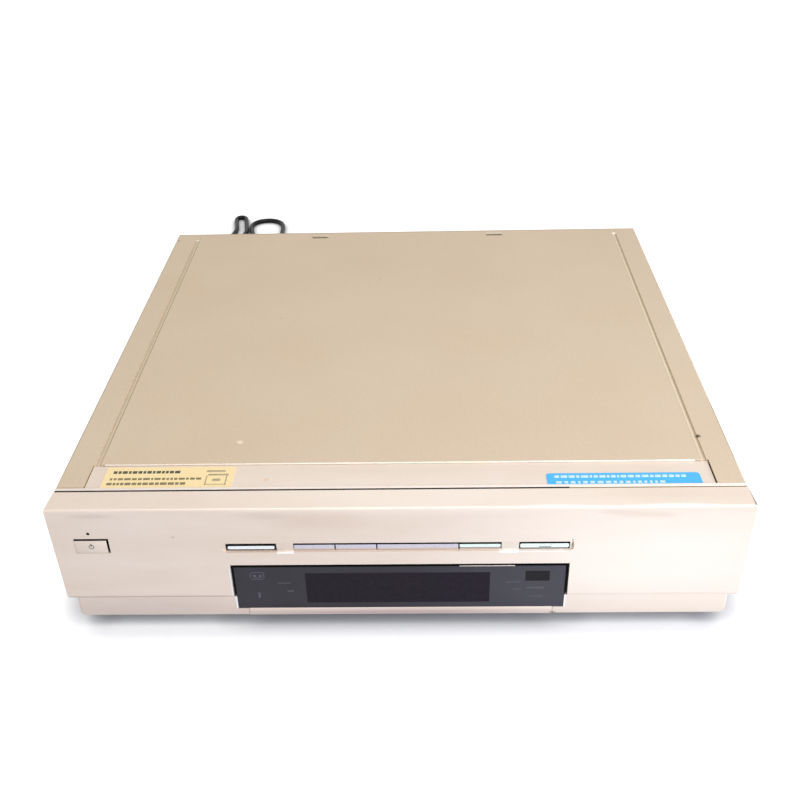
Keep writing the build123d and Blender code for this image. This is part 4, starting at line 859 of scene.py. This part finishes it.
def print_box(name, left, right, near, far):
    """A thin print that lies on a label."""
    return box_at(name, (left, near, label_top - 0.02), (right, far, label_top + 0.03))


def word_bars(name, left, right, near, deep, word, space, draws):
    """A row of plain printed bars of mixed lengths on a label."""
    bars = []
    x = left
    while x < right:
        wide = min(draws.uniform(*word), right - x)
        if wide > 0.8:
            bars.append(print_box(f"{name}_{len(bars)}", x, x + wide, near, near + deep))
        x += wide + space
    return bars


def label_prints():
    """Plain bars and a plain picture box on the yellow label, plain bars on the blue one."""
    draws = random.Random(7)
    title = word_bars("title", -182.5, -139.5, 37.4, 2.8, (1.6, 4.2), 0.7, draws)
    printed(title, "label_title", green_black_ink)
    lines = word_bars("line_a", -183.2, -123.5, 30.6, 2.2, (1.2, 4.4), 0.8, draws)
    lines += word_bars("line_b", -184.2, -134.0, 25.4, 2.6, (1.4, 5.0), 0.7, draws)
    printed(lines, "label_lines", brown_ink)
    # the picture's two bars, its frame and the bar inside: left, right, near and far
    bars = (
        (-122.5, -110.5, 38.6, 40.4), (-121.0, -108.0, 34.8, 36.6),
        (-122.0, -108.5, 25.2, 26.0), (-122.0, -121.2, 25.2, 34.8),
        (-109.3, -108.5, 25.2, 34.8), (-117.5, -112.5, 29.0, 31.5),
    )
    picture = [print_box(f"picture_{number}", *bar) for number, bar in enumerate(bars)]
    printed(picture, "label_picture", grey_ink)

    blue = box_at("blue_label", (93.0, 21.6, 97.78), (189.0, 34.0, label_top))
    edit(blue)
    pick(blue, lambda c, n: abs(n.z) > 0.9, "EDGE")
    bpy.ops.mesh.bevel(offset=2.4 * MM, segments=5)
    done(blue)
    finished(blue, blue_film, "deck")
    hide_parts("blue_label")
    rows = word_bars("blue_a", 98.0, 180.0, 29.2, 2.6, (1.2, 4.6), 0.9, draws)
    rows += word_bars("blue_b", 98.5, 166.0, 23.4, 2.4, (1.4, 3.6), 1.6, draws)
    printed(rows, "blue_label_lines", white_ink)


def cover_screws():
    """Pan-head screws with a cross recess, one modelled and three copied."""
    x, y, z = 64.0, 415.0, 93.0
    radius, height = 3.6, 1.6
    head = rod_piece("cover_screw_0", at(x, y + height / 2, z), radius, height)
    edit(head)
    rear = FRONT + y + 1.5
    pick(head, lambda c, n: c.y > rear and n.y > 0.9)
    bpy.ops.mesh.inset(thickness=1.5 * MM)
    bpy.ops.mesh.inset(thickness=0.2 * MM)
    extruded(-0.9)

    def between_arms(v, n):
        reach = math.hypot(v.x - x, v.z - z)
        turn = math.degrees(math.atan2(v.z - z, v.x - x)) % 90
        return v.y > FRONT + y + 0.4 and reach < 2.0 and 20 < turn < 70

    pick(head, between_arms, "VERT")
    resized((0.42, 1, 0.42), x, y, z)
    done(head)
    rounded(head, 0.25, limit=60)
    screws = [head]
    for number, place in enumerate((-192, -64, 192), 1):
        screws.append(copied(head, f"cover_screw_{number}", (place - x, 0, 0)))
    for screw in screws:
        finished(screw, screw_zinc, "deck")
    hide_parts("cover_screws")


jack_sink, jack_pin_hole = 0.9, 1.62


def phono_jack(name, x, z, root, tip):
    """A phono jack: a plated barrel, a sunk insulator and the hole for the pin."""
    way = 1 if tip > root else -1
    jack = rod_piece(name, at(x, (root + tip) / 2, z), 4.15, abs(tip - root), sides=28)
    edit(jack)
    mouth = FRONT + tip
    pick(jack, lambda c, n: abs(c.y - mouth) < 0.1)
    bpy.ops.mesh.inset(thickness=0.7 * MM)
    extruded(-way * jack_sink)
    bpy.ops.mesh.inset(thickness=1.9 * MM)
    extruded(-way * 4.5)
    done(jack)
    return jack


def jack_finish(jack, x, tip, z, way, colour):
    """Plated outside, a coloured floor round the pin hole, and painted shade in black deep inside
    it.
    """
    finished(jack, nickel, "deck")
    floor_y = FRONT + tip - way * jack_sink
    also(jack, colour, lambda c, n: abs(c.y - floor_y) < 0.1)
    # painted shade: black deep in the pin hole
    also(jack, black_edge_and_gap_shade, lambda c, n: math.hypot(c.x - x, c.z - z) < jack_pin_hole
         and abs(c.y - floor_y) > 0.3)


def all_jacks():
    """Eighteen jacks with coloured rings at the rear, and five behind the door."""
    rear_x, rear_z, rear_tip = 20.0, 46.0, 421.0
    colours = (jack_yellow, jack_white, jack_red)
    first = phono_jack("rear_jack_0", rear_x, rear_z, 413.0, rear_tip)
    rear = [(first, rear_x, rear_z, colours[0])]
    for group, start in enumerate((rear_x, 72.0)):
        for column in range(3):
            for row in range(3):
                if (group, column, row) == (0, 0, 0):
                    continue
                x, z = start + 14 * column, rear_z + 16 * row
                name = f"rear_jack_{9 * group + 3 * column + row}"
                jack = copied(first, name, (x - rear_x, 0, z - rear_z))
                rear.append((jack, x, z, colours[column]))
    for jack, x, z, colour in rear:
        jack_finish(jack, x, rear_tip, z, 1, colour)
        ring = rod_piece(jack.name + "_ring", at(x, 414.0, z), 5.6, 0.7, sides=24)
        rounded(ring, 0.2)
        finished(ring, colour, "deck")
    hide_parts("rear_jacks")

    front_x, front_z, front_tip = 130.0, 42.0, 15.5
    front = phono_jack("front_jack_0", front_x, front_z, 22.0, front_tip)
    jacks = [front] + [copied(front, f"front_jack_{n}", (14 * n, 0, 0)) for n in range(1, 5)]
    colours = (jack_black, jack_yellow, jack_white, jack_red, jack_black)
    for number, (jack, colour) in enumerate(zip(jacks, colours)):
        jack_finish(jack, front_x + 14 * number, front_tip, front_z, -1, colour)
    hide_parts("front_jacks")


def aerial_threads():
    """The thread of the aerial sockets, one ring copied along each."""
    root, sockets = 415.0, ((150.0, 52.0), (150.0, 76.0), (180.0, 52.0), (180.0, 76.0))
    start_x, start_z = sockets[0]
    nothing_selected()
    bpy.ops.mesh.primitive_torus_add(
        major_radius=4.7 * MM, minor_radius=0.32 * MM, major_segments=32, minor_segments=8,
        rotation=(math.pi / 2, 0, 0), location=[c * MM for c in at(start_x, root, start_z)],
    )
    ring = named("thread_0")
    bpy.ops.object.shade_smooth()
    rings = [ring]
    for x, z in sockets:
        for turn in range(5):
            if (x, z, turn) != (start_x, start_z, 0):
                shift = (x - start_x, 0.95 * turn, z - start_z)
                rings.append(copied(ring, f"thread_{len(rings)}", shift))
    finished(joined(rings, "aerial_threads"), nickel, "deck")


def strain_relief():
    """The cord's moulded relief: a flange and a tapered sleeve with slots across it in turn."""
    x, z, root, tip = -150.0, 35.0, 413.7, 443.7
    flange_depth, slot_pitch, slots = 3.0, 1.5, 18
    sleeve = rod_piece("strain_relief", at(x, (root + tip) / 2, z), 6.0, tip - root)
    edit(sleeve)
    for step in range(1, slots):
        cut_along((0, root + flange_depth + step * slot_pitch, 0), (0, 1, 0))
    for step in range(slots):
        y = FRONT + root + flange_depth + step * slot_pitch
        pick(sleeve, lambda v, n: y < v.y < y + 1.6, "VERT")
        share = 1 - 0.4 * (step + 1) / slots
        resized((share, 1, share), x, root, z)
    first = FRONT + root + flange_depth
    pick(sleeve, lambda c, n: abs(n.y) < 0.7 and c.y > first + slot_pitch
         and int((c.y - first) / slot_pitch) % 2 == 1 and abs(c.x - x) > 1.6)
    bpy.ops.mesh.extrude_region_shrink_fatten(TRANSFORM_OT_shrink_fatten={"value": -0.9 * MM})
    done(sleeve)
    flange = rod_piece("relief_flange", at(x, root + flange_depth / 2, z), 7.5, flange_depth)
    whole = joined([sleeve, rounded(flange, 0.5)], "strain_relief")
    finished(whole, cord_pvc, "deck")
    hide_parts("strain_relief")


def power_plug():
    """The moulded plug: a waisted body with grip ribs, a ribbed neck and two folded blades."""
    x, z = -172.0, 8.2
    neck, body, tip = 496.0, 504.0, 523.0
    waist = body + 9.5
    plug = box_at("power_plug", (x - 12, body, z - 7.5), (x + 12, tip, z + 7.5))
    edit(plug)
    for y in (body + 5, waist, body + 14):
        cut_along((0, y, 0), (0, 1, 0))
    pick(plug, lambda v, n: abs(v.y - (FRONT + waist)) < 1, "VERT")
    resized((0.86, 1, 0.9), x, waist, z)
    pick(plug, lambda v, n: v.y < FRONT + body + 1, "VERT")
    resized((0.72, 1, 0.8), x, body, z)
    done(plug)
    parts = [rounded(plug, 2.6, segments=4, limit=50)]
    overlap = 0.6
    collar = rod_piece("plug_neck", at(x, (neck + body) / 2 + overlap / 2, z), 5.0,
                       body - neck + overlap, sides=28)
    edit(collar)
    for y in (neck + 2, neck + 4, neck + 6):
        cut_along((0, y, 0), (0, 1, 0))
    for y, share in ((neck - 0.1, 0.74), (neck + 2, 0.92), (neck + 4, 0.8)):
        pick(collar, lambda v, n: abs(v.y - FRONT - y) < 0.5, "VERT")
        resized((share, 1, share), x, y, z)
    done(collar)
    parts.append(rounded(collar, 0.4, limit=25))
    for rib in range(4):
        y = body + 5.6 + 2.2 * rib
        for side in (-1, 1):
            low, high = sorted((x + side * 9.6, x + side * 11.6))
            grip = box_at(f"grip_{rib}_{side + 1}", (low, y, z - 4.5), (high, y + 1.1, z + 4.5))
            parts.append(rounded(grip, 0.4))
    whole = joined(parts, "power_plug")
    finished(whole, cord_pvc, "deck")
    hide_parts("power_plug")

    blade_x, half_thick, half_wide, reach = 6.35, 0.75, 3.15, 17
    for side in (-1, 1):
        middle = x + side * blade_x
        blade = box_at(f"blade_{side + 1}", (middle - half_thick, tip - 1, z - half_wide),
                       (middle + half_thick, tip + reach, z + half_wide))
        edit(blade)
        end = FRONT + tip + reach - 0.1
        pick(blade, lambda e, d: e.y > end and abs(d.x) > 0.9, "EDGE")
        bpy.ops.mesh.bevel(offset=1.4 * MM, segments=3)
        done(blade)
        hole = rod_piece(f"blade_hole_{side + 1}", at(middle, tip + 12.5, z), 1.5,
                         2 * half_thick + 0.04, axis="X", sides=20)
        finished(rounded(blade, 0.15, limit=50), nickel, "deck")
        # painted shade: each hole is a black pin through its blade
        finished(hole, black_edge_and_gap_shade, "deck")


def heel_strips():
    """The door's lower lip, which nearly closes the seam above the skirt."""
    for number, (left, right) in enumerate(((-214.6, -107.1), (107.1, 214.6))):
        lip = box_at(f"door_lip_{number}", (left, 0.2, 26.5), (right, 2.2, 28.4))
        edit(lip)
        pick(lip, lambda v, n: v.y > FRONT + 2.1 and v.z < 26.6, "VERT")
        moved((0, 0, -0.85))
        done(lip)
        finished(lip, front_paint, "door")


def display_sill():
    """The strip under the window, rounded along its top and its foot."""
    low, high = 9.3, 15.6
    sill = box_at("display_sill", (-98.2, 1.0, low), (98.2, 3.5, high))
    edit(sill)
    near = FRONT + 1.1
    for rim in (lambda e: e.z < low + 0.2, lambda e: e.z > high - 0.2):
        pick(sill, lambda e, d: e.y < near and rim(e) and abs(d.x) > 0.9, "EDGE")
        bpy.ops.mesh.bevel(offset=0.7 * MM, segments=3)
    done(sill)
    finished(sill, front_paint, "deck")
    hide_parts("display_sill")


heel_strips()
display_sill()
smoked_window()
window_prints()
window_shroud()
button_row()
power_button()
rim_lines()
label_prints()
cover_screws()
all_jacks()
aerial_threads()
strain_relief()
power_plug()

# The cord, with its material and its body; the source's cord and coil are hidden
cord_curve.materials.append(cord_pvc)
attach(mains_cord, "deck")
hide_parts("power_cord", "cord_coil")


# Floor, world and lamps

def looked_at(tree):
    """1 for what the camera, a mirror or glass sees, 0 for the light on the object."""
    ray = add(tree, "LightPath")
    seen = add(tree, "Math", {0: ray.outputs["Is Camera Ray"], 1: ray.outputs["Is Glossy Ray"]},
               operation="ADD")
    seen = add(tree, "Math", {0: seen.outputs[0], 1: ray.outputs["Is Transmission Ray"]},
               operation="ADD")
    return seen.outputs[0]


def pale_floor():
    """A white paper sweep, white to the camera and to mirrors, that keeps the shadow,
    with a painted contact shadow where its glow fades near the deck.
    """
    nothing_selected()
    bpy.ops.mesh.primitive_plane_add(size=12, location=(0, 0, 0))
    floor = named("floor")
    material, tree, shader, _ = new_material("white_paper_with_painted_contact_shadow")
    shader.inputs["Base Color"].default_value = linear("A2A3A8")
    shader.inputs["Roughness"].default_value = 0.9
    shader.inputs["Specular IOR Level"].default_value = 0.0
    seen = looked_at(tree)
    # painted contact shadow: the glow fades where ambient occlusion finds the deck close by
    near = add(tree, "AmbientOcclusion", Distance=0.027, samples=16)
    painted_contact_shadow = add(tree, "Math", {0: near.outputs["AO"]}, operation="POWER")
    painted_contact_shadow.inputs[1].default_value = 2.5
    lift = add(tree, "Math", {0: seen, 1: painted_contact_shadow.outputs[0]}, operation="MULTIPLY")
    shader.inputs["Emission Color"].default_value = (1, 1, 1, 1)
    wire(tree, lift.outputs[0], shader, "Emission Strength")
    floor.data.materials.append(material)


def white_world():
    """White for the camera and the mirrors, and a soft even light for the rest."""
    world = bpy.data.worlds.new("studio")
    bpy.context.scene.world = world
    world.use_nodes = True
    tree = world.node_tree
    tree.nodes.clear()
    strength = add(tree, "MapRange", {"Value": looked_at(tree)}, To_Min=0.36, To_Max=1.0)
    sky = add(tree, "Background", {"Strength": strength.outputs["Result"]}, Color=(1, 1, 1, 1))
    output = add(tree, "OutputWorld")
    tree.links.new(sky.outputs["Background"], output.inputs["Surface"])


def lamp(name, place, aim, size, watts, colour="FFFFFF"):
    """A soft square lamp that faces a point."""
    data = bpy.data.lights.new(name, "AREA")
    data.shape = "SQUARE"
    data.size = size
    data.energy = watts
    data.color = linear(colour)[:3]
    lit = bpy.data.objects.new(name, data)
    bpy.context.scene.collection.objects.link(lit)
    lit.location = place
    lit.rotation_euler = (Vector(aim) - Vector(place)).to_track_quat("-Z", "Y").to_euler()


pale_floor()
white_world()
lamp("overhead_softbox", (0.15, -0.3, 1.9), (0, 0, 0), 1.6, 17, "FFFAF2")
lamp("front_softbox", (0.85, -1.0, 0.52), (0.2, -0.2, 0.05), 0.6, 14.5, "EFF3FF")
